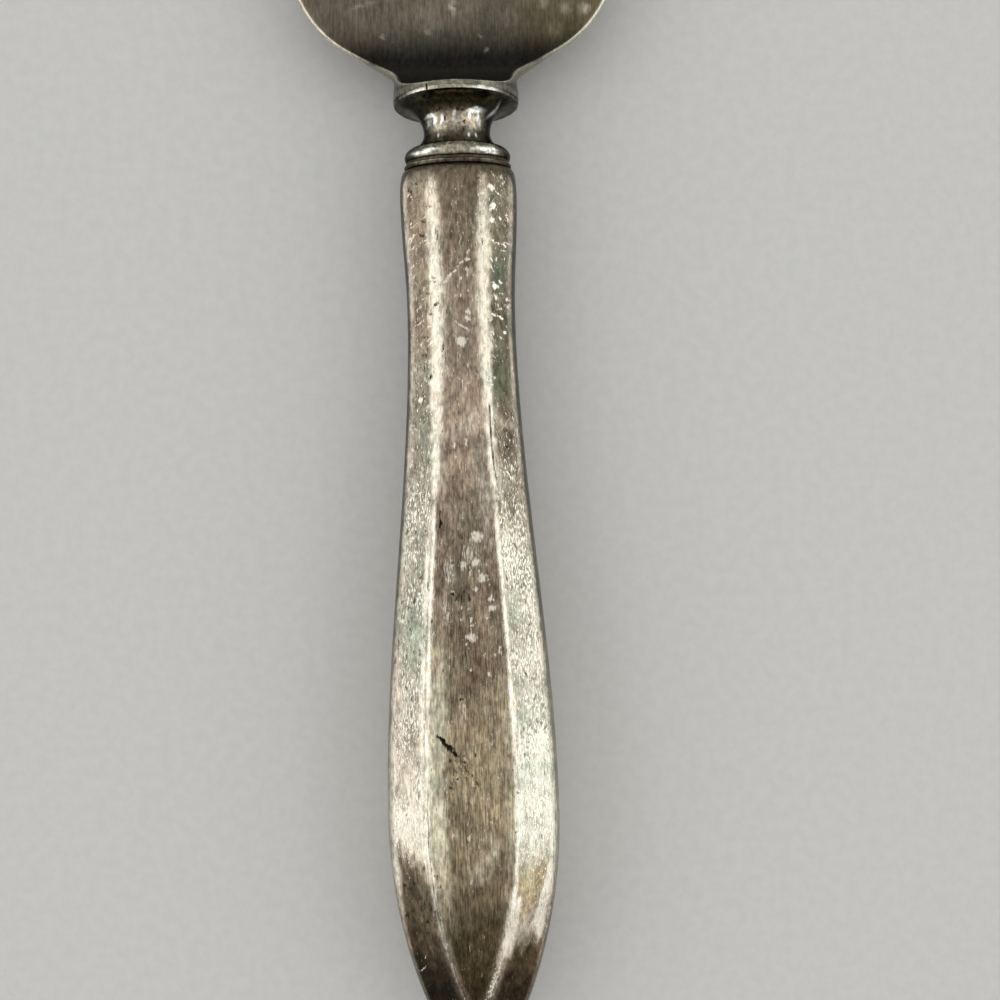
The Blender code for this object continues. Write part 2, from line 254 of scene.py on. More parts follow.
@dataclass
class Paint:
    """What is painted on a skin, with one value for each point.

    The tint is the colour of the tarnish, which in places also holds painted highlights, reflections and
    shade.
    Wear says how many specks of it are worn off, bared how far a mark has taken it off, sunk how deep a
    dark pit or scratch is, and combed how clearly brush lines show. On the neck bared also holds painted
    glints and sunk painted dark reflections, and near the handle's tip bared holds part of a painted
    highlight. These four run from 0 to 1.
    """

    tint: Array
    wear: Array
    bared_and_glint: Array
    sunk: Array
    combed: Array

    @classmethod
    def plain(cls, count: int, tint: Rgb, wear: float = 0.0) -> "Paint":
        """The same paint on a number of points."""
        none = np.zeros(count)
        return cls(np.tile(tint, (count, 1)), np.full(count, wear), none, none, np.ones(count))

    @classmethod
    def joined(cls, paints: list["Paint"]) -> "Paint":
        """The paint of several stretches, one after the other."""
        levels = [field.name for field in fields(cls)]
        return cls(*(np.concatenate([getattr(paint, level) for paint in paints]) for level in levels))


@dataclass
class Skin:
    """Points, faces and paint of one piece, which become a mesh."""

    points: Array
    faces: Faces
    paint: Paint

    @classmethod
    def loft(cls, rings: list[Array], paints: list[Paint], closed: bool) -> "Skin":
        """A skin through rings that have as many points each.

        Args:
            rings: The rings in order, each with one point a row.
            paints: The paint of each ring.
            closed: Whether the last ring joins the first. If not, both ends are closed by a face.

        Returns:
            The skin.
        """
        size = len(rings[0])
        count = len(rings)
        faces: Faces = []
        for i in range(count if closed else count - 1):
            near, far = i * size, (i + 1) % count * size
            faces += [(near + j, near + (j + 1) % size, far + (j + 1) % size, far + j) for j in range(size)]
        if not closed:
            faces.append(tuple(range(size)))
            faces.append(tuple(range((count - 1) * size, count * size)))
        return cls(np.concatenate(rings), faces, Paint.joined(paints))

    def mesh(self, name: str) -> bpy.types.Mesh:
        """Makes the skin a mesh with outward faces.

        Args:
            name: The mesh's name.

        Returns:
            The mesh with its paint.
        """
        mesh = bpy.data.meshes.new(name)
        mesh.from_pydata(self.points.tolist(), [], self.faces)
        bm = bmesh.new()
        bm.from_mesh(mesh)
        bmesh.ops.recalc_face_normals(bm, faces=bm.faces)
        bm.to_mesh(mesh)
        bm.free()
        tint = self.paint.tint
        opaque = np.concatenate([tint, np.ones((len(tint), 1))], axis=1)
        mesh.attributes.new("tint", "FLOAT_COLOR", "POINT").data.foreach_set("color", opaque.ravel())
        for level in ("wear", "bared_and_glint", "sunk", "combed"):
            values = getattr(self.paint, level)
            mesh.attributes.new(level, "FLOAT", "POINT").data.foreach_set("value", values.ravel())
        mesh.shade_smooth()
        mesh.set_sharp_from_angle(angle=SHARP_ANGLE)
        return mesh


def place_piece(name: str, skin: Skin, material: Material, node: str) -> Piece:
    """Puts a finished piece in the scene in place of a CAD node.

    Args:
        name: The piece's name.
        skin: Its shape and paint.
        material: Its finish.
        node: The CAD node that it stands for.

    Returns:
        The piece.
    """
    mesh = skin.mesh(name)
    mesh.materials.append(material)
    piece = bpy.data.objects.new(name, mesh)
    bpy.context.scene.collection.objects.link(piece)
    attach(piece, BODY)
    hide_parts(node)
    LOG.info("%s stands for %s with %d points", name, node, len(mesh.vertices))
    return piece


# Finishes


class Graph:
    """Adds and links the nodes of one shader."""

    def __init__(self, tree: bpy.types.NodeTree) -> None:
        """Starts on a node tree."""
        self.tree = tree

    def put(self, socket: Socket, value: object) -> None:
        """Links an input to another node, or sets it to a fixed value.

        Args:
            socket: The input.
            value: An output of the other node, or the value.
        """
        if isinstance(value, Socket):
            self.tree.links.new(value, socket)
        else:
            socket.default_value = value

    def made(
        self, kind: str, given: dict[str | int, object], output: str | int = 0, **settings: object
    ) -> Socket:
        """Adds a node.

        Args:
            kind: Blender's name for such a node.
            given: What goes into its inputs, each under its name or number.
            output: The name or number of the output that is used.
            **settings: Its settings.

        Returns:
            That output.
        """
        node = self.tree.nodes.new(kind)
        for name, value in settings.items():
            setattr(node, name, value)
        for socket, value in given.items():
            self.put(node.inputs[socket], value)
        return node.outputs[output]

    def math(self, operation: str, first: object, second: object = 0.0) -> Socket:
        """A sum on two values, by Blender's name for it."""
        return self.made("ShaderNodeMath", {0: first, 1: second}, operation=operation)

    def span(self, value: object, low: object, high: object, first: float, last: float) -> Socket:
        """A value carried softly from the range low to high to the range first to last."""
        given = dict(enumerate((value, low, high, first, last)))
        return self.made("ShaderNodeMapRange", given, interpolation_type="SMOOTHSTEP")

    def mix(self, share: object, first: object, second: object) -> Socket:
        """Two colours mixed, with the share of the second."""
        colours = [(*colour, 1.0) if isinstance(colour, tuple) else colour for colour in (first, second)]
        return self.made("ShaderNodeMix", {0: share, 6: colours[0], 7: colours[1]}, 2, data_type="RGBA")

    def scaled(self, colour: object, factor: object) -> Socket:
        """A colour made lighter or darker by a factor."""
        return self.made("ShaderNodeVectorMath", {0: colour, "Scale": factor}, operation="SCALE")

    def mapping(
        self,
        vector: object,
        scale: Triple,
        location: Triple = (0.0, 0.0, 0.0),
        turn: float = 0.0,
        kind: str = "POINT",
    ) -> Socket:
        """A vector stretched, turned about Z and moved, in the way that Blender calls kind."""
        given = {"Vector": vector, "Scale": scale, "Location": location, "Rotation": (0.0, 0.0, turn)}
        return self.made("ShaderNodeMapping", given, vector_type=kind)

    def noise(self, vector: object, detail: float = 2.0, roughness: float = 0.5) -> Socket:
        """Cloudy noise at the scale of a vector, with so many finer layers of this strength."""
        given = {"Vector": vector, "Scale": 1.0, "Detail": detail, "Roughness": roughness}
        return self.made("ShaderNodeTexNoise", given, "Fac")

    def painted(self, level: str, output: str = "Fac") -> Socket:
        """A painted value of the mesh."""
        return self.made("ShaderNodeAttribute", {}, output, attribute_name=level)

    def coords(self, kind: str = "Object") -> Socket:
        """Places on the tool."""
        return self.made("ShaderNodeTexCoord", {}, kind)


@dataclass(frozen=True)
class PlateFinish:
    """Silver plate with painted tarnish, brushed along the tool, and worn through in specks and marks."""

    name: str
    roughness: float
    brush: float
    mottle: float
    hairs: float = 0.0
    drift: float = 0.03
    edge_level: float = 1.0
    bright: Rgb = SILVER
    fleck: float = 0.36
    specks: float = 1.0
    brush_scale: Triple = (12500.0, 540.0, 12500.0)
    band_scale: Triple = (4300.0, 300.0, 4300.0)
    speck_scale: Triple = (8200.0, 2300.0, 8200.0)
    fleck_scale: Triple = (3000.0, 1150.0, 3000.0)
    mottle_scale: Triple = (620.0, 340.0, 620.0)
    hair_size: Triple = (0.00005, 0.0024, 0.0009)
    hair_turns: tuple[float, ...] = (-34.0, -52.0, 24.0)
    relief: float = 0.000012
    speck_gloss: float = 0.08
    speck_level: float = 0.75
    speck_drop: float = 0.5
    speck_soft: float = 0.07
    gloss_spread: float = 0.05
    pit_depth: float = 3.0
    band_part: float = 0.35
    hair_limits: Limits = (0.66, 0.74)
    mark_break: float = 4.2
    fleck_place: Triple = (5.3, 1.9, 0.7)
    drift_place: Triple = (3.1, 7.7, 1.3)

    def material(self) -> Material:
        """Makes the finish a material.

        Returns:
            The material.
        """
        material = bpy.data.materials.new(self.name)
        material.use_nodes = True
        graph = Graph(material.node_tree)
        shader = material.node_tree.nodes["Principled BSDF"]
        shader.inputs["Metallic"].default_value = 1.0
        shader.inputs["Specular Tint"].default_value = (self.edge_level,) * 3 + (1.0,)
        coords = graph.coords()
        streak = graph.noise(graph.mapping(coords, self.brush_scale), detail=3.0, roughness=0.7)
        speck = graph.noise(graph.mapping(coords, self.speck_scale), detail=2.0, roughness=0.6)
        cloud = graph.noise(graph.mapping(coords, self.mottle_scale), detail=3.0, roughness=0.55)

        wear = graph.painted("wear")
        edge = graph.math("SUBTRACT", self.speck_level, graph.math("MULTIPLY", wear, self.speck_drop))
        limits = [graph.math(way, edge, self.speck_soft) for way in ("SUBTRACT", "ADD")]
        bare = graph.span(speck, *limits, 0.0, 1.0)
        bare = graph.math("MULTIPLY", bare, graph.span(wear, 0.0, 0.06, 0.0, self.specks))
        height = graph.math("ADD", streak, bare)
        if self.hairs:
            shown = graph.span(wear, 0.08, 0.16, 0.0, 1.0)
            cuts = graph.math("MULTIPLY", self.hairlines(graph, coords), shown)
            bare = graph.math("MAXIMUM", bare, cuts)
        ragged = graph.math("MULTIPLY", graph.math("ADD", speck, streak), 0.5)
        # Marks that bare the metal show the bright colour, and so do the painted glints and highlights held
        # with them.
        bare = graph.math("MAXIMUM", bare, self.broken(graph, "bared_and_glint", ragged))
        sunk = self.broken(graph, "sunk", streak)
        colour = graph.mix(bare, self.tarnish(graph, coords, streak, cloud), self.bright)
        graph.put(shader.inputs["Base Color"], graph.mix(sunk, colour, PATINA))
        height = graph.math("SUBTRACT", height, graph.math("MULTIPLY", sunk, self.pit_depth))

        gloss_ends = (self.roughness - self.gloss_spread, self.roughness + self.gloss_spread)
        dull = graph.span(cloud, 0.3, 0.7, *gloss_ends)
        gloss = graph.math("MULTIPLY", bare, self.speck_gloss)
        graph.put(shader.inputs["Roughness"], graph.math("SUBTRACT", dull, gloss))
        given = {"Strength": 1.0, "Distance": self.relief, "Height": height}
        graph.put(shader.inputs["Normal"], graph.made("ShaderNodeBump", given, "Normal"))
        return material

    def tarnish(self, graph: Graph, coords: Socket, streak: Socket, cloud: Socket) -> Socket:
        """The painted tarnish with brush streaks, mottling and a drift between rose and green.

        Args:
            graph: Where the nodes go.
            coords: Places on the tool.
            streak: Fine noise drawn out along the tool.
            cloud: Slow noise.

        Returns:
            The colour.
        """
        band = graph.noise(graph.mapping(coords, self.band_scale), detail=2.0, roughness=0.6)
        fleck_at = graph.mapping(coords, self.fleck_scale, self.fleck_place)
        fleck = graph.noise(fleck_at, detail=3.0, roughness=0.6)
        fine = graph.span(streak, 0.33, 0.67, -self.brush, self.brush)
        broad_brush = self.band_part * self.brush
        broad = graph.span(band, 0.3, 0.7, -broad_brush, broad_brush)
        combed = graph.painted("combed")
        lines = graph.math("MULTIPLY", graph.math("ADD", fine, broad), combed)
        flecked = graph.span(fleck, 0.3, 0.7, 1 - self.fleck, 1 + self.fleck)
        clouded = graph.span(cloud, 0.3, 0.7, 1 - self.mottle, 1 + self.mottle)
        level = graph.math("MULTIPLY", flecked, clouded)
        level = graph.math("MULTIPLY", level, graph.math("ADD", lines, 1.0))
        colour = graph.scaled(graph.painted("tint", "Color"), level)
        rose = (1 + self.drift, 1 - 0.4 * self.drift, 1 - 0.4 * self.drift)
        green = (1 - self.drift, 1 + 0.4 * self.drift, 1 + 0.2 * self.drift)
        wander = graph.noise(graph.mapping(coords, self.mottle_scale, self.drift_place), detail=2.0)
        cast = graph.mix(graph.span(wander, 0.35, 0.65, 0.0, 1.0), rose, green)
        return graph.made("ShaderNodeVectorMath", {0: colour, 1: cast}, operation="MULTIPLY")

    def hairlines(self, graph: Graph, coords: Socket) -> Socket:
        """How strongly the fine scratches show, which lie in a few directions.

        Args:
            graph: Where the nodes go.
            coords: Places on the tool.

        Returns:
            A value from 0 to the strength of the scratches.
        """
        strongest: object = 0.0
        for turn in self.hair_turns:
            place = (0.0, turn * MM, 0.0)
            lane = graph.mapping(coords, self.hair_size, place, math.radians(turn), "TEXTURE")
            cut = graph.span(graph.noise(lane, detail=1.0), *self.hair_limits, 0.0, self.hairs)
            strongest = graph.math("MAXIMUM", strongest, cut)
        return strongest

    def broken(self, graph: Graph, level: str, grain: Socket) -> Socket:
        """How strongly painted marks show, broken up by the grain of the metal.

        Args:
            graph: Where the nodes go.
            level: The painted value that holds the marks.
            grain: Noise that breaks them up.

        Returns:
            A value from 0 to 1.
        """
        painted = graph.painted(level)
        shift = graph.math("MULTIPLY", graph.math("SUBTRACT", grain, 0.5), self.mark_break)
        raised = graph.math("ADD", graph.math("MULTIPLY", painted, 1.2), shift)
        shown = graph.span(raised, 0.25, 1.25, 0.0, 1.0)
        return graph.math("MULTIPLY", shown, graph.span(painted, 0.02, 0.25, 0.0, 1.0))


@dataclass(frozen=True)
class PlainFinish:
    """A dull finish whose colour wanders between two tones."""

    name: str
    light: Rgb
    dark: Rgb
    roughness: float
    metallic: float
    scale: float

    def material(self) -> Material:
        """Makes the finish a material.

        Returns:
            The material.
        """
        material = bpy.data.materials.new(self.name)
        material.use_nodes = True
        graph = Graph(material.node_tree)
        shader = material.node_tree.nodes["Principled BSDF"]
        shader.inputs["Metallic"].default_value = self.metallic
        coords = graph.coords()
        cloud = graph.noise(graph.mapping(coords, (self.scale,) * 3), detail=4.0, roughness=0.6)
        colour = graph.mix(graph.span(cloud, 0.3, 0.7, 0.0, 1.0), self.dark, self.light)
        graph.put(shader.inputs["Base Color"], colour)
        rough = graph.span(cloud, 0.3, 0.7, self.roughness + 0.06, self.roughness - 0.06)
        graph.put(shader.inputs["Roughness"], rough)
        return material


# Handle


@dataclass(frozen=True)
class HandleForm:
    """Sizes of the panelled handle, with distances taken from its mouth towards its tip."""

    mouth_y: float
    axis_z: float
    length: float
    mouth_width: float = 0.0101
    shoulder_width: float = 0.011
    shoulder_run: float = 0.0026
    waist_width: float = 0.01015
    waist_at: float = 0.0135
    belly_width: float = 0.0161
    belly_to_tip: float = 0.0261
    nose_width: float = 0.0008
    mouth_thickness: float = 0.006
    waist_thickness: float = 0.007
    nose_thickness: float = 0.0022
    rest_land: float = 0.012
    panel_mouth_width: float = 0.0047
    panel_waist_width: float = 0.0043
    panel_belly_width: float = 0.0081
    ridge_length: float = 0.0078
    ridge_width: float = 0.0003
    side_inset: float = 0.00055
    side_share: float = 0.55
    side_bow: float = 2.7
    wall: float = 0.0006
    tip_solid: float = 0.005

    @classmethod
    def from_frame(cls) -> "HandleForm":
        """Takes the handle's place and length from the CAD model.

        Returns:
            The handle's sizes.
        """
        low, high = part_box("front_shell")
        seam_low, seam_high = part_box("seam_solder")
        return cls(mouth_y=high.y, axis_z=(seam_low.z + seam_high.z) / 2, length=high.y - low.y)

    @property
    def belly_at(self) -> float:
        """Where the handle is widest."""
        return self.length - self.belly_to_tip

    @property
    def cavity_end(self) -> float:
        """Where the hollow ends and the solid tip begins."""
        return self.length - self.tip_solid

    def shoulder(self, s: float) -> float:
        """How far the rounded shoulder has risen, from 0 at the mouth to 1."""
        return math.sqrt(max(0.0, 1 - (1 - min(1.0, s / self.shoulder_run)) ** 2))

    def half_width(self, s: float) -> float:
        """Half the handle's width.

        Args:
            s: Distance from the mouth.

        Returns:
            Half the width there.
        """
        if s <= self.shoulder_run:
            return (self.mouth_width + (self.shoulder_width - self.mouth_width) * self.shoulder(s)) / 2
        if s <= self.waist_at:
            share = (s - self.shoulder_run) / (self.waist_at - self.shoulder_run)
            return ease(self.shoulder_width, self.waist_width, share) / 2
        if s <= self.belly_at:
            share = (s - self.waist_at) / (self.belly_at - self.waist_at)
            return ease(self.waist_width, self.belly_width, share) / 2
        return arch(self.belly_width / 2, self.nose_width / 2, self.belly_to_tip, s - self.belly_at)

    def half_thickness(self, s: float) -> float:
        """Half the handle's thickness.

        Args:
            s: Distance from the mouth.

        Returns:
            Half the thickness there.
        """
        flat_start = self.belly_at - self.rest_land / 2
        flat_end = self.belly_at + self.rest_land / 2
        if s <= self.waist_at:
            rise = (self.waist_thickness - self.mouth_thickness) * self.shoulder(s)
            return (self.mouth_thickness + rise) / 2
        if s <= flat_start:
            share = (s - self.waist_at) / (flat_start - self.waist_at)
            return ease(self.waist_thickness / 2, self.axis_z, share)
        if s <= flat_end:
            return self.axis_z
        share = (s - flat_end) / (self.length - flat_end)
        return self.axis_z - (self.axis_z - self.nose_thickness / 2) * share * share

    def panel_half_width(self, s: float) -> float:
        """Half the width of the middle panel, which ends in a pointed arch and runs on as a ridge.

        Args:
            s: Distance from the mouth.

        Returns:
            Half the width there.
        """
        apex = self.length - self.ridge_length
        if s <= self.waist_at:
            return ease(self.panel_mouth_width, self.panel_waist_width, s / self.waist_at) / 2
        if s <= self.belly_at:
            share = (s - self.waist_at) / (self.belly_at - self.waist_at)
            return ease(self.panel_waist_width, self.panel_belly_width, share) / 2
        if s < apex:
            run = apex - self.belly_at
            return arch(self.panel_belly_width / 2, self.ridge_width / 2, run, s - self.belly_at)
        return self.ridge_width / 2


@dataclass(frozen=True)
class HandleTones:
    """Colours and wear of the handle's plate along its length, in millimetres from the mouth."""

    panel: Tones = (
        (0.0, (0.145, 0.118, 0.082)), (1.4, (0.205, 0.165, 0.117)), (2.6, (0.27, 0.215, 0.15)),
        (4.0, (0.25, 0.2, 0.14)), (7.0, (0.23, 0.184, 0.128)), (13.0, (0.32, 0.26, 0.195)),
        (24.0, (0.415, 0.325, 0.242)), (34.0, (0.255, 0.207, 0.155)), (48.0, (0.265, 0.207, 0.14)),
        (58.0, (0.36, 0.293, 0.19)), (64.0, (0.255, 0.203, 0.13)), (69.0, (0.088, 0.066, 0.036)),
        (76.0, (0.045, 0.03, 0.015)),
    )
    # Tones of the bevels: tarnish, and painted reflection that makes them darker on the upper half, bright
    # on the lower half and different between left and right.
    left_bevel: Tones = (
        (0.0, (0.27, 0.22, 0.16)), (3.5, (0.3, 0.24, 0.17)), (5.5, (0.235, 0.187, 0.13)),
        (14.0, (0.235, 0.19, 0.133)), (22.0, (0.215, 0.195, 0.143)), (34.0, (0.35, 0.325, 0.26)),
        (43.0, (0.275, 0.28, 0.22)), (53.0, (0.41, 0.355, 0.275)), (60.0, (0.75, 0.7, 0.56)),
        (63.0, (0.7, 0.635, 0.49)), (65.0, (0.55, 0.46, 0.34)),
    )
    right_bevel: Tones = (
        (0.0, (0.105, 0.093, 0.06)), (2.2, (0.125, 0.11, 0.072)), (3.6, (0.185, 0.165, 0.112)),
        (7.0, (0.17, 0.155, 0.107)), (14.0, (0.11, 0.103, 0.07)), (20.0, (0.115, 0.108, 0.074)),
        (27.5, (0.165, 0.138, 0.093)), (35.0, (0.34, 0.32, 0.235)), (43.0, (0.37, 0.37, 0.285)),
        (53.0, (0.5, 0.525, 0.42)), (60.5, (0.78, 0.785, 0.655)), (62.8, (0.72, 0.69, 0.55)),
        (65.0, (0.44, 0.36, 0.21)), (68.2, (0.4, 0.32, 0.2)), (69.3, (0.46, 0.4, 0.31)),
        (71.5, (0.36, 0.3, 0.22)),
    )
    # Painted reflection and shade on the side walls below the bevels' rims: dark along most of the length,
    # lighter towards the belly.
    wall: Tones = (
        (0.0, (0.06, 0.055, 0.04)), (25.0, (0.085, 0.077, 0.057)), (40.0, (0.155, 0.14, 0.1)),
        (60.0, (0.42, 0.385, 0.28)), (70.0, (0.19, 0.165, 0.115)), (80.0, (0.09, 0.075, 0.05)),
    )
    tip: Tones = (
        (63.0, (0.2, 0.16, 0.11)), (66.0, (0.13, 0.1, 0.067)), (68.5, (0.125, 0.097, 0.064)),
        (71.0, (0.085, 0.065, 0.04)), (73.0, (0.042, 0.03, 0.017)), (76.0, (0.017, 0.011, 0.006)),
    )
    left_wear: Levels = (
        (12.0, 0.16), (22.0, 0.22), (34.0, 0.42), (43.0, 0.38), (53.0, 0.45), (62.0, 0.5), (68.0, 0.1),
    )
    right_wear: Levels = (
        (14.0, 0.17), (20.0, 0.1), (27.0, 0.28), (35.0, 0.47), (61.0, 0.53), (66.0, 0.28), (74.0, 0.1),
    )
    combed: Levels = ((0.0, 0.3), (20.0, 0.45), (34.0, 0.75), (46.0, 0.85), (70.0, 0.8), (76.0, 0.7))
    panel_edge: Rgb = (0.68, 0.64, 0.475)
    # Bright edges of the panel: worn metal with a painted highlight along the rounded edge.
    strip: Tones = (
        (0.0, (0.44, 0.365, 0.265)), (3.0, (0.66, 0.58, 0.445)), (5.5, (0.86, 0.79, 0.625)),
        (16.0, (0.9, 0.83, 0.66)), (26.0, (0.96, 0.9, 0.73)), (62.0, (0.94, 0.89, 0.73)),
        (67.5, (0.92, 0.87, 0.73)), (71.5, (0.8, 0.71, 0.58)), (74.0, (0.42, 0.345, 0.265)),
        (76.5, (0.27, 0.215, 0.16)),
    )
    strip_spread: Levels = (
        (0.0, 0.55), (4.0, 0.78), (14.0, 0.85), (19.0, 0.75), (26.0, 0.55), (32.0, 0.35),
    )
    line_spread: Levels = ((40.0, 0.2), (66.0, 0.2), (69.0, 0.38), (76.5, 0.5))
    # Bright outer edges of the bevels: worn metal with a painted highlight.
    rim: Tones = (
        (0.0, (0.68, 0.6, 0.5)), (30.0, (0.62, 0.55, 0.455)), (57.0, (0.84, 0.79, 0.65)),
        (65.0, (0.88, 0.83, 0.69)), (69.0, (0.56, 0.47, 0.37)), (76.5, (0.27, 0.215, 0.16)),
    )
    rim_spread: Levels = ((0.0, 0.26), (40.0, 0.22), (57.0, 0.36), (65.0, 0.5), (68.0, 0.35), (72.0, 0.2))
    swath_place: Levels = ((64.0, 0.3), (66.4, 0.45), (68.5, 0.75), (69.8, 1.0), (71.5, 0.6))
    swath_reach: Levels = ((63.5, 0.25), (66.4, 0.45), (69.8, 0.58), (71.3, 0.35), (71.9, 0.05))
    right_crack: Levels = ((22.4, 2.45), (23.7, 2.49), (25.8, 2.57), (27.9, 2.7), (29.3, 2.94))
    # Dark band at the handle's mouth: some dirt, and painted shade in the crease by the neck.
    mouth_dirt: Rgb = (0.11, 0.092, 0.06)
    left_tip_at: float = 63.2
    right_tip_at: float = 71.2
    strip_ends: float = 27.0


@dataclass
class FacetPaint:
    """Where each point of a shell's outer skin lies on its facets, and how these are painted.

    Lengths are in millimetres. The edge is the distance outwards from the panel's edge, and the rim the
    distance inwards from the bevel's outer edge. Cloud and grain are slow and quick noise.
    """

    tones: HandleTones
    along: Array
    across: Array
    edge: Array
    rim: Array
    cloud: Array
    grain: Array

    @property
    def right(self) -> Array:
        """1 on the right half and 0 on the left."""
        return step(self.across, -0.3, 0.3)

    @property
    def bevel_share(self) -> Array:
        """Place across the bevel, from 0 at the panel's edge to 1 at the rim."""
        return np.clip(self.edge / np.maximum(self.edge + self.rim, 0.05), 0.0, 1.0)

    @property
    def panel_tint(self) -> Array:
        """Colour of the middle panel, with the lighter bands along its edges at the belly."""
        tint = tones_at(self.along + 1.5 * self.cloud, self.tones.panel)
        return blend(tint, self.tones.panel_edge, self.band_share)

    @property
    def band_share(self) -> Array:
        """How clearly the lighter bands along the panel's edges show."""
        reach = 1.7 - 0.7 * self.right
        band = step(self.edge + 0.4 * self.grain + reach, -0.4, 0.5) * (1 - 0.65 * self.right)
        return band * step(self.edge, 0.3, 0.0) * window(self.along + self.grain, 47.0, 66.0, 6.0)

    @property
    def crack_share(self) -> Array:
        """How clearly the dark crack lines along the panel's left edge and beside its right edge show."""
        left = ridge(self.edge + 0.03 + 0.05 * self.grain, 0.075) * (1 - self.right)
        left = (0.65 + 0.4 * self.grain) * left * window(self.along + self.grain, 57.0, 70.0, 1.5)
        right = ridge(self.across - levels_at(self.along, self.tones.right_crack), 0.075)
        return np.maximum(left, (1.0 + 0.5 * self.grain) * right * window(self.along, 22.4, 29.2, 0.5))

    @property
    def bevel_tint(self) -> Array:
        """Colour of the two bevels, which differ partly by painted reflection, and of the dark tip."""
        along = self.along + 1.2 * self.cloud
        left, right = tones_at(along, self.tones.left_bevel), tones_at(along, self.tones.right_bevel)
        tip = tones_at(self.along + 2.5 * self.cloud + 2.0 * self.grain, self.tones.tip)
        tip = tip * (1 + 1.2 * self.right * step(self.along, 71.0, 73.0))[..., None]
        return blend(blend(left, right, self.right), tip, self.tip_share)

    @property
    def tip_share(self) -> Array:
        """How far the bevels have turned dark towards the tip, along a ragged line."""
        start = self.tones.left_tip_at + (self.tones.right_tip_at - self.tones.left_tip_at) * self.right
        start = start + 0.5 * (1 - self.bevel_share)
        shake = (1.7 * self.cloud + 1.5 * self.grain) * (1 - 0.6 * self.right)
        return step(self.along - start + shake, -1.0, 1.3) * step(self.edge, -0.1, 0.2)

    @property
    def strip_share(self) -> Array:
        """How brightly the panel's edges show, worn and with a painted highlight: broad strips by the
        mouth, fine lines at the belly.
        """
        upper = step(self.along, self.tones.strip_ends + 7.0, self.tones.strip_ends)
        outward = step(self.edge, 0.0, 0.4)
        reach = np.abs(self.edge + (0.12 + 0.22 * outward) * self.grain * upper)
        spread = levels_at(self.along, self.tones.strip_spread) * (1 - 0.15 * self.right)
        broad = step(reach / spread, 1.25, 0.15) * (1 - 0.1 * self.right)
        fine = ridge(self.edge, levels_at(self.along, self.tones.line_spread))
        second = 0.9 * ridge(self.edge - 0.5, 0.24) * (1 - self.right)
        second = second * window(self.along, 34.0, 62.0, 4.0)
        fade = 1 - 0.62 * step(self.along, 63.0, 68.5) * (1 - self.right)
        line = np.maximum(np.maximum(fine, second) * fade, self.flare_share)
        return np.maximum(broad * upper, line * (1 - upper)) * step(self.along + 0.4 * self.grain, 0.7, 1.6)

    @property
    def flare_share(self) -> Array:
        """How brightly two bare swaths on the right bevel show, by the panel's edge and inside the rim,
        each with a painted highlight.
        """
        along = self.along + 0.6 * self.grain + 0.4 * self.cloud
        inner = step(np.abs(self.edge - 0.2 + 0.12 * self.grain), 0.75, 0.35)
        inner = inner * window(along, 67.0, 72.6, 0.8)
        place, reach = levels_at(along, self.tones.swath_place), levels_at(along, self.tones.swath_reach)
        from_swath = np.abs(self.rim - place + 0.12 * self.grain) / reach
        outer = step(from_swath, 1.3, 0.6) * window(along, 64.6, 71.6, 0.6)
        on_bevel = step(self.edge, -0.35, -0.1) * step(self.rim, -0.1, 0.1)
        return np.maximum(inner, outer) * self.right * on_bevel

    @property
    def rim_share(self) -> Array:
        """How brightly the outer edge of the bevel shows, worn and with a painted highlight."""
        spread = levels_at(self.along, self.tones.rim_spread)
        line = ridge(self.rim - 0.3 * spread, 0.75 * spread) * (0.95 - 0.2 * self.right)
        return line * (1 - 0.4 * step(self.along, 70.0, 76.0)) * step(self.along, 0.6, 1.6)


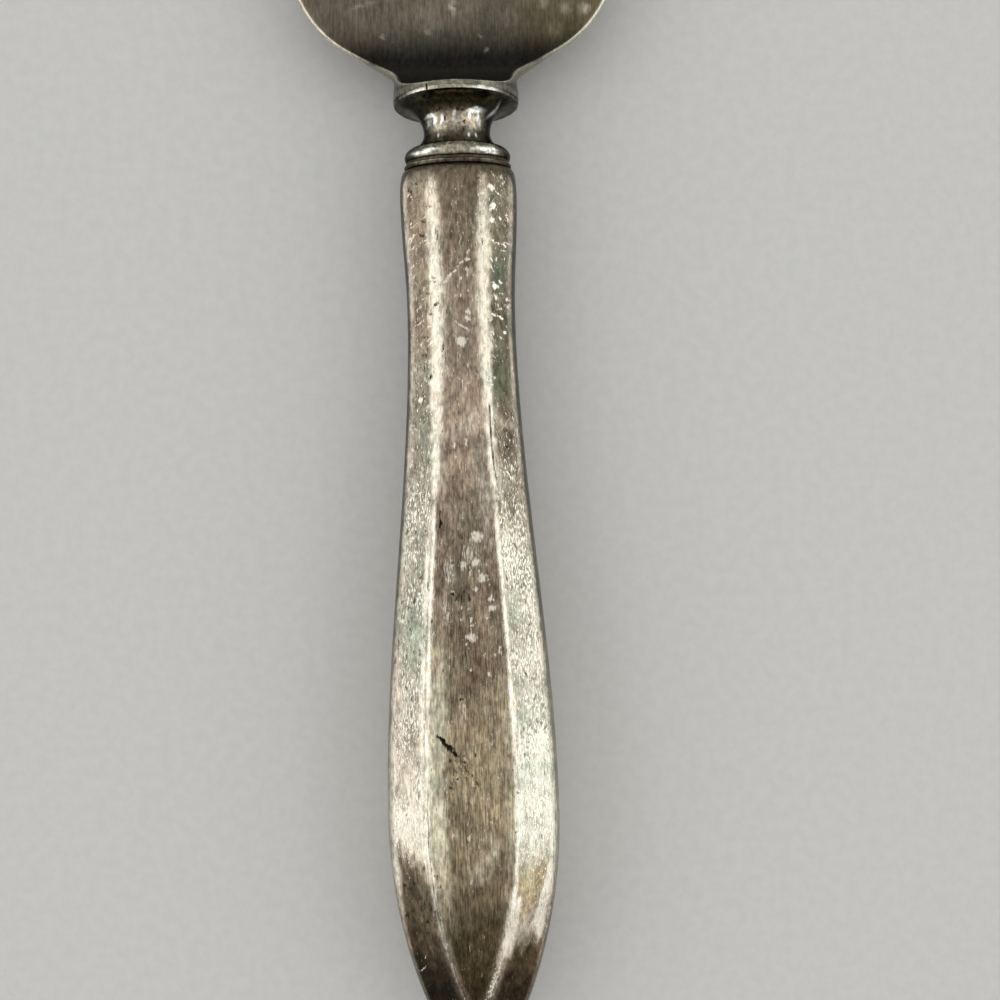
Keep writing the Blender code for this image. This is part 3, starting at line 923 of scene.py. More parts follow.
@dataclass
class HandleShell:
    """One of the two stamped shells of the handle."""

    form: HandleForm
    tones: HandleTones
    face: Face
    crown: float
    worn: Marks = ()
    dark: Marks = ()
    stains: Stains = ()
    seam: float = 0.00015
    mouth_round: float = 0.0005
    mouth_draw: float = 0.00026
    mouth_fade: float = 0.0022
    tip_round: float = 0.0007
    rim_reach: float = 0.00042
    broad_reach: float = 0.00085
    crisp_reach: float = 0.00028
    ripple: float = 0.000016
    ripple_scale: float = 210.0
    stations: int = 430
    wall_points: int = 8
    rim_points: int = 7
    bevel_points: int = 20
    arris_points: int = 12
    panel_points: int = 24
    inner_rows: int = 12
    inner_columns: int = 5
    mouth_steps: int = 8
    tip_steps: int = 9
    cloud_size: float = 2.6
    grain_size: float = 0.55
    shake_size: float = 0.33
    mark_shake: float = 0.22
    panel_wear: float = 0.05
    strip_wear: float = 0.45
    rim_wear: float = 0.4

    @property
    def places(self) -> Array:
        """Distances from the mouth at which sections are taken, closer at both ends."""
        mouth_turns = np.linspace(0.0, math.pi / 2, self.mouth_steps, endpoint=False)
        tip_turns = np.linspace(0.0, math.pi / 2, self.tip_steps, endpoint=False)
        mouth = self.mouth_round * (1 - np.cos(mouth_turns))
        tip_start = self.form.length - self.tip_round
        tip = tip_start + self.tip_round * np.sin(tip_turns)
        body = np.linspace(self.mouth_round, tip_start, self.stations, endpoint=False)
        hollow = np.searchsorted(body, self.form.cavity_end)
        return np.concatenate([mouth, body[:hollow], [self.form.cavity_end], body[hollow:], tip])

    def drawn_in(self, s: float) -> float:
        """How far the outline is drawn in by the rounds of the mouth and of the tip.

        Args:
            s: Distance from the mouth.

        Returns:
            The distance inwards.
        """
        from_tip = self.form.length - s
        if s < self.mouth_round:
            return self.mouth_draw * (1 - math.sqrt(1 - (1 - s / self.mouth_round) ** 2))
        if from_tip < self.tip_round:
            return self.tip_round - math.sqrt(self.tip_round**2 - (self.tip_round - from_tip) ** 2)
        return 0.0

    def arris_reach(self, s: float) -> float:
        """How broadly the edge between the panel and the bevel is rounded."""
        share = float(step(s / MM, self.tones.strip_ends - 4.0, self.tones.strip_ends + 5.0))
        return self.broad_reach + (self.crisp_reach - self.broad_reach) * share

    def half_section(self, s: float) -> tuple[Array, Array, Array]:
        """Half a section, from the seam up to the middle of the panel.

        Args:
            s: Distance from the mouth.

        Returns:
            The points across and up, and each point's distance outwards from the panel's edge and inwards
            from the outer edge of the bevel.
        """
        form = self.form
        width, thick = form.half_width(s), form.half_thickness(s)
        panel = min(form.panel_half_width(s), 0.8 * width)
        rise = self.crown * panel / (form.panel_belly_width / 2)
        inset = form.side_inset * width / (width + 2 * form.side_inset)
        rim = np.array((width - inset, thick * form.side_share))
        edge = np.array((panel, thick - rise))
        slope = edge - rim
        length = float(np.hypot(*slope))
        slope /= length
        rim_reach = min(self.rim_reach, 0.3 * length)
        arris_reach = min(self.arris_reach(s), 0.4 * length, 0.8 * panel)

        wall_end = 1 - min(0.5, rim_reach / rim[1])
        rise_share = np.linspace(0.0, wall_end, self.wall_points + 1)
        wall = np.stack([width - (width - rim[0]) * rise_share**form.side_bow, rim[1] * rise_share], 1)
        rim_end = rim + slope * rim_reach
        arris_start = edge - slope * arris_reach
        inner = panel - arris_reach
        arris_end = np.array((inner, thick - rise * (inner / panel) ** 2))
        share = np.linspace(0.0, 1.0, self.bevel_points, endpoint=False)[:, None]
        across = np.linspace(inner, 0.0, self.panel_points + 1)
        points = np.concatenate(
            [
                wall[:-1],
                bend(wall[-1], rim, rim_end, self.rim_points),
                rim_end + (arris_start - rim_end) * share,
                bend(arris_start, edge, arris_end, self.arris_points),
                np.stack([across, thick - rise * (across / panel) ** 2], 1),
            ]
        )
        from_edge = points[:, 0] - panel
        from_rim = rim[0] - points[:, 0]
        fade = 1 - float(step(s, 0.0, self.mouth_fade))
        angles = np.arctan2(points[:, 1] / thick, points[:, 0] / width)
        points += (np.stack([width * np.cos(angles), thick * np.sin(angles)], 1) - points) * fade
        draw = min(self.drawn_in(s), 0.9 * width)
        points *= np.array(((width - draw) / width, (thick - draw) / thick))
        return points, from_edge, from_rim

    def rows(self) -> tuple[Array, Array, Array, Array]:
        """Sections of the outer skin over the whole length.

        Returns:
            The distances from the mouth, the points across and up at each, and each point's distance from
            the panel's edge and from the outer edge of the bevel.
        """
        places = self.places
        halves = [self.half_section(s) for s in places]
        points = np.stack([half[0] for half in halves])
        mirrored = points[:, -2::-1] * np.array((-1.0, 1.0))
        full = np.concatenate([points, mirrored], axis=1)
        lanes = [np.stack([half[i] for half in halves]) for i in (1, 2)]
        from_edge, from_rim = (np.concatenate([lane, lane[:, -2::-1]], axis=1) for lane in lanes)
        return places, full, from_edge, from_rim

    def rippled(self, points: Array) -> Array:
        """Sinks points by the shallow dents of long use.

        Args:
            points: The points, one a row.

        Returns:
            The sunk points.
        """
        sunk = points.copy()
        for i, (x, y, _) in enumerate(points):
            spot = Vector((x, y * 0.5, self.face.value)) * self.ripple_scale
            sunk[i, 2] -= self.face.value * self.ripple * (0.5 + 0.5 * noise.noise(spot))
        return sunk

    def skin(self) -> Skin:
        """Makes the shell a closed skin, which is coarser on the inside.

        Returns:
            The skin with its paint.
        """
        places, outer, from_edge, from_rim = self.rows()
        rows, size = outer.shape[:2]
        last = int(np.searchsorted(places, self.form.cavity_end))
        kept_rows = sorted({*range(0, last, self.inner_rows), last})
        kept_columns = sorted({*range(0, size, self.inner_columns), size - 1})
        kept = places[kept_rows]
        outside = np.array([(self.form.half_width(s), self.form.half_thickness(s)) for s in kept])
        reach = outer[kept_rows].max(axis=1)
        shrink = np.minimum(outside - self.form.wall, reach - self.seam) / reach
        inner = outer[np.ix_(kept_rows, kept_columns)] * shrink[:, None, :]

        skins = []
        for section, along in ((outer, places), (inner, kept)):
            x, z = section[..., 0], np.maximum(section[..., 1], self.seam)
            y = np.broadcast_to(self.form.mouth_y - along[:, None], x.shape)
            skins.append(np.stack([x, y, self.form.axis_z + self.face.value * z], -1).reshape(-1, 3))
        skins[0] = self.rippled(skins[0])
        paint = self.paint(places, outer[..., 0], from_edge, from_rim)
        return Skin(
            np.concatenate(skins),
            self.faces(rows, size, kept_rows, kept_columns),
            Paint.joined([paint, Paint.plain(len(skins[1]), PATINA)]),
        )

    @staticmethod
    def faces(rows: int, size: int, kept_rows: list[int], kept_columns: list[int]) -> Faces:
        """Faces of the outer and inner skins, the rims between them and the solid tip.

        Args:
            rows: How many sections the outer skin has.
            size: How many points each of its sections has.
            kept_rows: The sections that the inner skin has too, the last of them where the hollow ends.
            kept_columns: The points of a section that the inner skin has too.

        Returns:
            The faces as point numbers.
        """
        inner, inner_size = rows * size, len(kept_columns)
        faces: Faces = []
        for start, count, width in ((0, rows, size), (inner, len(kept_rows), inner_size)):
            for i in range(count - 1):
                near, far = start + i * width, start + (i + 1) * width
                faces += [(near + j, near + j + 1, far + j + 1, far + j) for j in range(width - 1)]
        for i, (near, far) in enumerate(zip(kept_rows, kept_rows[1:])):
            for end, inner_end in ((0, 0), (size - 1, inner_size - 1)):
                row = inner + i * inner_size + inner_end
                faces.append((*(k * size + end for k in range(near, far + 1)), row + inner_size, row))
        for j, (near, far) in enumerate(zip(kept_columns, kept_columns[1:])):
            faces.append((*range(near, far + 1), inner + j + 1, inner + j))
        last = kept_rows[-1]
        stop, inner_stop = last * size, inner + (len(kept_rows) - 1) * inner_size
        inner_last = inner_stop + inner_size - 1
        faces.append(tuple(range(inner_stop, inner_last + 1)))
        faces.append((stop, inner_stop, inner_last, stop + size - 1, stop + 2 * size - 1, stop + size))
        for i in range(last + 1, rows - 1):
            near = i * size
            faces.append((near, near + size - 1, near + 2 * size - 1, near + size))
        faces.append(tuple(range((rows - 1) * size, rows * size)))
        return faces

    def paint(self, places: Array, across: Array, from_edge: Array, from_rim: Array) -> Paint:
        """Paint of the outer skin.

        Args:
            places: Distance of each section from the mouth.
            across: Place of each point across the handle.
            from_edge: Distance of each point outwards from the panel's edge.
            from_rim: Distance of each point inwards from the outer edge of the bevel.

        Returns:
            The paint.
        """
        along = np.broadcast_to(places[:, None] / MM, across.shape)
        width = across / MM
        seed = self.face.value * 5.0
        cloud = clouds(width, along, self.cloud_size, seed)
        grain = clouds(width, along * 0.5, self.grain_size, seed)
        lanes = FacetPaint(self.tones, along, width, from_edge / MM, from_rim / MM, cloud, grain)
        # Panel and bevel tones, the bevels' partly painted reflection.
        tint = blend(lanes.panel_tint, lanes.bevel_tint, step(lanes.edge, -0.1, 0.15))
        # Painted reflection and shade on the side walls.
        tint = blend(tint, tones_at(along, self.tones.wall), step(lanes.rim, 0.06, -0.12))
        strip, rim_line = lanes.strip_share, lanes.rim_share
        # Bright strips and rim lines: worn metal with painted highlights.
        tint = blend(tint, tones_at(along, self.tones.strip), strip)
        tint = blend(tint, tones_at(along, self.tones.rim), rim_line)
        # Painted shade, with some dirt, in the dark band at the mouth.
        tint = blend(tint, self.tones.mouth_dirt, step(along + 0.25 * grain, 0.78, 0.42))
        stained = np.zeros(across.shape)
        shaken = (width + 0.4 * cloud + 0.25 * grain, along + 0.8 * cloud + 0.4 * grain)
        for stain in self.stains:
            share = stain.shown(*shaken)
            tint = blend(tint, stain.tone, share)
            stained = np.maximum(stained, share)

        on_bevel = step(lanes.edge, 0.0, 0.3) * step(lanes.rim, -0.1, 0.15)
        left_wear = levels_at(along, self.tones.left_wear)
        right_wear = levels_at(along, self.tones.right_wear)
        panel_wear = self.panel_wear * step(along, 66.0, 58.0)
        wear = (left_wear + (right_wear - left_wear) * lanes.right) * on_bevel + panel_wear * (1 - on_bevel)
        wear = np.maximum(wear, self.strip_wear * strip)
        wear = np.maximum(wear, self.rim_wear * rim_line)
        wear = wear * (1 + 0.55 * cloud)
        wear = wear * (1 - 0.7 * lanes.tip_share) * (1 - 0.5 * stained) * step(along, 0.5, 1.2)

        shaken_across = width + self.mark_shake * clouds(width, along, self.shake_size, seed + 2.0)
        shaken_along = along + self.mark_shake * clouds(width, along, self.shake_size, seed + 3.0)
        above_wall = step(lanes.rim, -0.2, 0.05)
        bared_and_glint = marks_at(shaken_across, shaken_along, self.worn) * above_wall
        # The swaths near the tip: worn metal with a painted highlight.
        bared_and_glint = np.maximum(bared_and_glint, 0.5 * lanes.flare_share)
        sunk = marks_at(shaken_across, shaken_along, self.dark) * above_wall
        sunk = np.maximum(sunk, lanes.crack_share)
        combed = levels_at(along, self.tones.combed) * (1 - 0.35 * on_bevel)
        combed = combed * (1 - 0.5 * lanes.band_share)
        return Paint(tint.reshape(-1, 3), wear.ravel(), bared_and_glint.ravel(), sunk.ravel(), combed.ravel())


@dataclass
class SeamSolder:
    """The strip of solder along both seams of the handle and round its tip."""

    form: HandleForm
    tint: Rgb = (0.2, 0.18, 0.14)
    thickness: float = 0.0003
    sunk: float = 0.00004
    mouth_round: float = 0.0005
    tip_round: float = 0.0007
    steps: int = 260

    def skin(self) -> Skin:
        """Makes the strip a flat closed skin.

        Returns:
            The skin with its paint.
        """
        form = self.form
        start, stop = self.mouth_round, form.length - self.tip_round
        places = np.linspace(start, stop, self.steps)
        outer = [(form.half_width(s) - self.sunk, form.mouth_y - s) for s in places]
        inner = [(form.half_width(s) - form.wall, form.mouth_y - s) for s in places if s <= form.cavity_end]
        outline = outer + [(-x, y) for x, y in reversed(outer)]
        outline += [(-x, y) for x, y in inner] + list(reversed(inner))
        count = len(outline)
        levels = (form.axis_z - self.thickness / 2, form.axis_z + self.thickness / 2)
        points = np.array([(x, y, z) for z in levels for x, y in outline])
        faces: Faces = [tuple(range(count)), tuple(range(count, 2 * count))]
        faces += [(i, (i + 1) % count, count + (i + 1) % count, count + i) for i in range(count)]
        return Skin(points, faces, Paint.plain(2 * count, self.tint, 0.1))


@dataclass
class Handle:
    """The hollow handle: two shells, the solder between them and the cement inside."""

    form: HandleForm
    tones: HandleTones = HandleTones()
    front_crown: float = 0.0003
    fine_stations: int = 860
    fine_bevel_points: int = 30
    fine_panel_points: int = 34
    worn_marks: Marks = Mark.rows(
        (-1.2, 11.0, 0.3, 0.6, 30.0), (-0.9, 10.5, 0.28, 0.5, 46.0, 1.2),
        (-0.45, 10.1, 0.2, 0.5, 50.0, 1.2), (-0.1, 9.75, 0.18, 0.35, 50.0),
        (0.25, 9.35, 0.26, 0.5, 62.0, 1.3), (0.75, 9.1, 0.4, 0.4, 0.0, 1.4), (0.72, 10.0, 0.35, 0.45),
        (0.05, 10.8, 0.3, 0.3), (0.84, 8.4, 0.3, 0.5, 30.0), (1.22, 10.5, 0.3, 0.35),
        (0.1, 12.4, 0.22, 0.4), (0.72, 13.85, 0.5, 0.5), (0.7, 14.5, 0.5, 0.5),
        (0.16, 15.2, 0.2, 2.0, -57.0), (0.02, 16.6, 1.0, 1.0, 0.0, 1.2),
        (3.15, 2.4, 0.4, 0.6, -20.0, 1.5), (3.24, 4.1, 0.5, 0.85, 0.0, 1.4),
        (3.16, 5.4, 0.35, 0.5, 0.0, 1.5), (4.08, 1.3, 0.25, 0.3), (4.1, 2.6, 0.22, 0.3),
        (3.45, 7.5, 0.16, 0.75, -75.0), (4.09, 7.6, 0.18, 0.5, -45.0), (3.05, 9.1, 0.16, 0.6, -38.0),
        (3.04, 9.85, 0.16, 0.7, -45.0), (3.7, 11.0, 0.2, 0.5, -40.0), (3.29, 11.5, 0.6, 0.4, 0.0, 1.3),
        (3.33, 12.5, 0.4, 0.7, -30.0, 0.9), (3.62, 14.25, 0.16, 0.7, -65.0), (4.01, 15.7, 0.25, 0.3),
        (-3.91, 21.75, 0.5, 0.5), (-4.15, 30.35, 0.16, 1.6, 74.0), (-0.86, 26.0, 0.25, 0.8),
        (0.21, 25.8, 0.3, 1.1), (-0.75, 27.1, 0.2, 0.5), (1.04, 34.4, 1.1, 1.0),
        (-0.29, 37.0, 0.7, 0.8), (0.88, 36.8, 0.8, 0.8), (1.42, 38.2, 0.7, 0.8),
        (0.32, 37.7, 0.15, 1.2), (0.74, 39.2, 0.35, 0.4), (2.12, 40.1, 0.4, 0.6),
        (2.24, 40.9, 0.8, 0.6), (0.2, 40.9, 0.25, 0.5, 20.0), (0.26, 43.5, 1.0, 0.8),
        (2.86, 44.75, 0.3, 0.6), (2.4, 45.1, 0.3, 0.3), (-4.7, 72.8, 0.14, 0.5, 35.0),
        (-4.99, 74.1, 0.14, 0.9, 40.0), (-1.9, 6.0, 0.5, 3.0, 4.0, 0.5),
        (-1.6, 17.5, 0.8, 3.5, 0.0, 0.5), (0.4, 20.5, 0.8, 2.0, 10.0, 0.45),
        (-1.6, 37.5, 1.0, 2.4, 0.0, 0.55), (-1.9, 41.2, 1.0, 2.6, 0.0, 0.5),
        (0.3, 36.0, 1.6, 2.0, 0.0, 0.5), (-0.6, 50.0, 0.8, 4.0, 0.0, 0.4),
    )
    stains: Stains = Stain.rows(
        (0.1, 24.4, 1.6, 5.6, 59.0, 0.65, (0.58, 0.5, 0.4)),
        (3.4, 9.9, 1.0, 3.8, 0.0, 0.8, (0.1, 0.118, 0.09)),
        (3.5, 15.0, 1.1, 3.2, 0.0, 0.6, (0.13, 0.125, 0.09)),
        (-0.4, 39.9, 1.5, 1.2, 35.0, 0.6, (0.1, 0.075, 0.05)),
        (1.2, 5.0, 1.2, 5.0, 0.0, 0.5, (0.17, 0.155, 0.112)),
        (-1.5, 6.5, 0.9, 4.0, 0.0, 0.5, (0.36, 0.29, 0.22)),
        (-1.3, 13.0, 0.9, 4.0, 5.0, 0.5, (0.5, 0.43, 0.34)),
        (-3.7, 25.5, 1.0, 5.5, 0.0, 0.6, (0.2, 0.205, 0.158)),
        (3.6, 20.5, 1.3, 3.4, 0.0, 0.6, (0.112, 0.116, 0.078)),
        (4.3, 26.4, 1.0, 2.6, 0.0, 0.65, (0.105, 0.08, 0.055)),
        (3.3, 29.5, 0.5, 5.0, -6.0, 0.7, (0.62, 0.58, 0.46)),
        (4.1, 31.5, 0.6, 4.0, -8.0, 0.6, (0.17, 0.145, 0.1)),
        (1.7, 30.0, 1.3, 8.0, -4.0, 0.55, (0.55, 0.52, 0.43)),
        (-1.9, 27.5, 0.7, 9.0, 0.0, 0.45, (0.54, 0.48, 0.38)),
        (3.9, 24.2, 0.9, 3.2, -63.0, 0.6, (0.46, 0.4, 0.31)),
        (-4.95, 43.6, 1.9, 5.5, 0.0, 0.8, (0.31, 0.345, 0.27)),
        (-6.55, 48.0, 0.9, 13.0, 3.0, 0.6, (0.6, 0.48, 0.4)),
        (5.8, 57.5, 2.0, 3.0, 0.0, 0.25, (0.6, 0.66, 0.6)),
        (-6.0, 55.5, 2.4, 5.0, 0.0, 0.45, (0.6, 0.5, 0.41)),
        (0.9, 64.3, 2.2, 2.6, 15.0, 0.8, (0.5, 0.45, 0.33)),
        (1.7, 62.6, 1.1, 2.2, 30.0, 0.8, (0.52, 0.46, 0.34)),
        (-0.6, 68.5, 1.0, 3.0, -18.0, 0.45, (0.21, 0.175, 0.12)),
        (-4.4, 3.6, 0.6, 2.4, 0.0, 0.75, (0.17, 0.12, 0.08)),
        (-3.9, 1.7, 1.6, 0.5, 0.0, 0.8, (0.42, 0.365, 0.275)),
        (-3.7, 8.0, 0.7, 3.0, 12.0, 0.55, (0.2, 0.165, 0.115)),
        (-0.2, 4.5, 2.2, 4.0, 0.0, 0.5, (0.17, 0.125, 0.088)),
        (0.2, 18.5, 2.0, 3.5, 0.0, 0.4, (0.23, 0.165, 0.115)),
        (-0.4, 31.0, 1.8, 3.5, 0.0, 0.45, (0.2, 0.15, 0.105)),
        (0.6, 47.0, 2.6, 5.0, 0.0, 0.4, (0.19, 0.14, 0.09)),
    )
    dark_marks: Marks = Mark.rows(
        (-4.4, 2.4, 0.22, 1.0, -30.0, 0.7), (-3.75, 1.9, 0.2, 0.9, -78.0, 0.7),
        (-1.3, 55.5, 0.9, 1.6, -40.0, 0.42), (1.1, 63.0, 0.9, 1.2, 30.0, 0.42),
        (0.2, 66.5, 1.4, 1.6, 0.0, 0.4), (-5.6, 66.5, 1.0, 2.2, 0.0, 0.42),
        (-4.6, 70.5, 0.8, 1.8, 0.0, 0.42), (-2.18, 13.1, 0.14, 0.75, 55.0),
        (-1.66, 17.25, 0.12, 0.5, 40.0), (2.08, 1.5, 0.14, 0.7, 40.0), (-2.88, 19.7, 0.25, 0.45, 30.0),
        (-2.28, 33.0, 0.2, 1.9, -4.0, 1.2), (-1.25, 39.5, 0.2, 0.9, 50.0, 0.9),
        (-0.85, 39.9, 0.25, 0.8, 42.0, 0.8), (-0.15, 39.2, 0.3, 0.9, 20.0, 0.9),
        (0.15, 39.9, 0.3, 1.0, 0.0, 0.9), (0.25, 40.7, 0.18, 0.7, -15.0, 0.7),
        (-0.35, 40.1, 1.2, 1.2, 40.0, 0.5), (-2.5, 52.7, 0.36, 1.2, -44.0, 1.7),
        (-2.05, 53.2, 0.46, 1.2, -46.0, 1.7), (-1.5, 53.8, 0.4, 1.1, -46.0, 1.5),
        (-0.8, 54.5, 0.16, 1.3, -52.0, 1.0), (-1.1, 55.0, 0.15, 1.1, -25.0, 0.8),
        (-0.3, 55.5, 0.16, 1.6, -38.0, 0.8), (-0.5, 56.4, 0.15, 1.2, -15.0, 0.7),
        (0.5, 56.6, 0.2, 1.6, -35.0, 0.7), (-2.34, 46.4, 0.16, 0.3), (-0.75, 49.1, 0.16, 0.35, 30.0),
        (-0.55, 61.75, 0.25, 0.6), (-0.05, 60.65, 0.09, 0.7, 25.0),
    )
    worn_scatters: Scatters = Scatter.rows(
        (1, 36, (2.75, 4.5), (1.0, 17.0), (0.14, 0.2), (0.25, 0.65), (-75.0, -30.0), (0.6, 1.1)),
        (2, 30, (-4.7, -2.9), (2.0, 21.0), (0.13, 0.17), (0.5, 1.5), (35.0, 60.0), (0.4, 0.85)),
        (3, 60, (-2.0, 2.0), (1.5, 30.0), (0.14, 0.22), (0.5, 1.6), (-12.0, 14.0), (0.3, 0.65)),
        (4, 36, (-2.2, 2.6), (33.0, 47.0), (0.14, 0.3), (0.2, 0.5), (-10.0, 10.0), (0.5, 1.0)),
        (5, 26, (-3.1, -2.2), (13.0, 23.0), (0.14, 0.2), (0.5, 1.1), (30.0, 60.0), (0.6, 1.1)),
        (6, 18, (2.5, 3.0), (11.0, 22.0), (0.14, 0.2), (0.3, 0.7), (-80.0, -40.0), (0.6, 1.0)),
        (7, 50, (-6.0, -2.6), (24.0, 48.0), (0.16, 0.4), (0.4, 1.2), (-8.0, 8.0), (0.5, 0.9)),
        (8, 90, (-2.6, 2.4), (50.0, 66.0), (0.14, 0.24), (0.5, 1.5), (-8.0, 8.0), (0.25, 0.55)),
        (9, 90, (-2.8, 2.6), (65.0, 76.4), (0.14, 0.2), (0.4, 1.1), (-14.0, 14.0), (0.1, 0.24)),
    )
    dark_scatters: Scatters = Scatter.rows(
        (11, 40, (-2.2, 2.2), (2.0, 40.0), (0.14, 0.2), (0.4, 1.2), (-10.0, 10.0), (0.4, 0.7)),
        (12, 16, (-3.5, -2.4), (2.0, 20.0), (0.13, 0.17), (0.4, 0.8), (-75.0, -55.0), (0.45, 0.8)),
        (13, 60, (-7.0, -3.0), (28.0, 60.0), (0.12, 0.2), (0.3, 0.8), (-8.0, 8.0), (0.4, 0.75)),
        (14, 60, (3.0, 7.5), (26.0, 62.0), (0.12, 0.2), (0.3, 0.8), (-8.0, 8.0), (0.4, 0.75)),
        (16, 30, (-1.9, 0.5), (53.8, 57.5), (0.14, 0.2), (0.25, 0.7), (-60.0, -10.0), (0.5, 1.0)),
        (15, 30, (-6.5, -3.0), (64.0, 75.0), (0.14, 0.3), (0.4, 0.9), (-15.0, 5.0), (0.4, 0.8)),
    )
    back_scatters: Scatters = Scatter.rows(
        (21, 50, (-2.4, 2.4), (3.0, 66.0), (0.3, 0.6), (0.3, 0.9), (-20.0, 20.0), (0.4, 0.9)),
        (22, 40, (-4.6, -2.6), (2.0, 30.0), (0.25, 0.4), (0.4, 1.4), (20.0, 60.0), (0.5, 1.0)),
        (23, 40, (2.6, 4.6), (2.0, 30.0), (0.25, 0.4), (0.4, 1.4), (-60.0, -20.0), (0.5, 1.0)),
    )
    back_stains: Stains = Stain.rows(
        (0.5, 52.0, 2.4, 7.0, 10.0, 0.6, (0.52, 0.48, 0.38)),
        (-1.2, 26.0, 1.2, 5.0, 40.0, 0.6, (0.5, 0.43, 0.34)),
        (1.0, 10.0, 1.4, 4.0, 0.0, 0.6, (0.16, 0.14, 0.1)),
        (-0.6, 39.0, 1.4, 4.0, -10.0, 0.5, (0.15, 0.115, 0.08)),
        (-4.0, 18.0, 1.2, 5.0, 0.0, 0.6, (0.14, 0.15, 0.11)),
    )
    front_finish: PlateFinish = PlateFinish("front_plate", 0.34, 0.52, 0.28, hairs=0.4)
    back_finish: PlateFinish = PlateFinish("back_plate", 0.36, 0.52, 0.28, hairs=0.5)
    seam_finish: PlateFinish = PlateFinish("seam_solder_finish", 0.45, 0.15, 0.3)
    cement_finish: PlainFinish = PlainFinish(
        "resin_cement", (0.22, 0.14, 0.09), (0.1, 0.06, 0.04), 0.85, 0.0, 700.0
    )

    def front(self) -> HandleShell:
        """Plans the front shell, which is finer because it shows.

        Returns:
            The shell with its marks.
        """
        return HandleShell(
            self.form,
            self.tones,
            Face.FRONT,
            self.front_crown,
            worn=self.worn_marks + scattered(self.worn_scatters),
            dark=self.dark_marks + scattered(self.dark_scatters),
            stains=self.stains,
            stations=self.fine_stations,
            bevel_points=self.fine_bevel_points,
            panel_points=self.fine_panel_points,
        )

    def back(self) -> HandleShell:
        """Plans the back shell, which has a flat panel to lie on."""
        worn = scattered(self.back_scatters)
        return HandleShell(self.form, self.tones, Face.BACK, 0.0, worn=worn, stains=self.back_stains)

    def build(self) -> list[Piece]:
        """Makes the handle's pieces and dresses them.

        Returns:
            The pieces.
        """
        pieces = []
        shells = {"front_shell": self.front(), "back_shell": self.back()}
        for (node, shell), finish in zip(shells.items(), (self.front_finish, self.back_finish)):
            pieces.append(place_piece(f"{node}_plate", shell.skin(), finish.material(), node))
        seam = SeamSolder(self.form).skin()
        solder = self.seam_finish.material()
        pieces.append(place_piece("seam_solder_strip", seam, solder, "seam_solder"))
        self.dress_cement()
        return pieces

    def dress_cement(self) -> None:
        """Gives the cement inside the handle its finish."""
        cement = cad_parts["cement_filling"]
        cement.data.materials.clear()
        cement.data.materials.append(self.cement_finish.material())
        LOG.info("cement_filling keeps its CAD shape")


# Neck


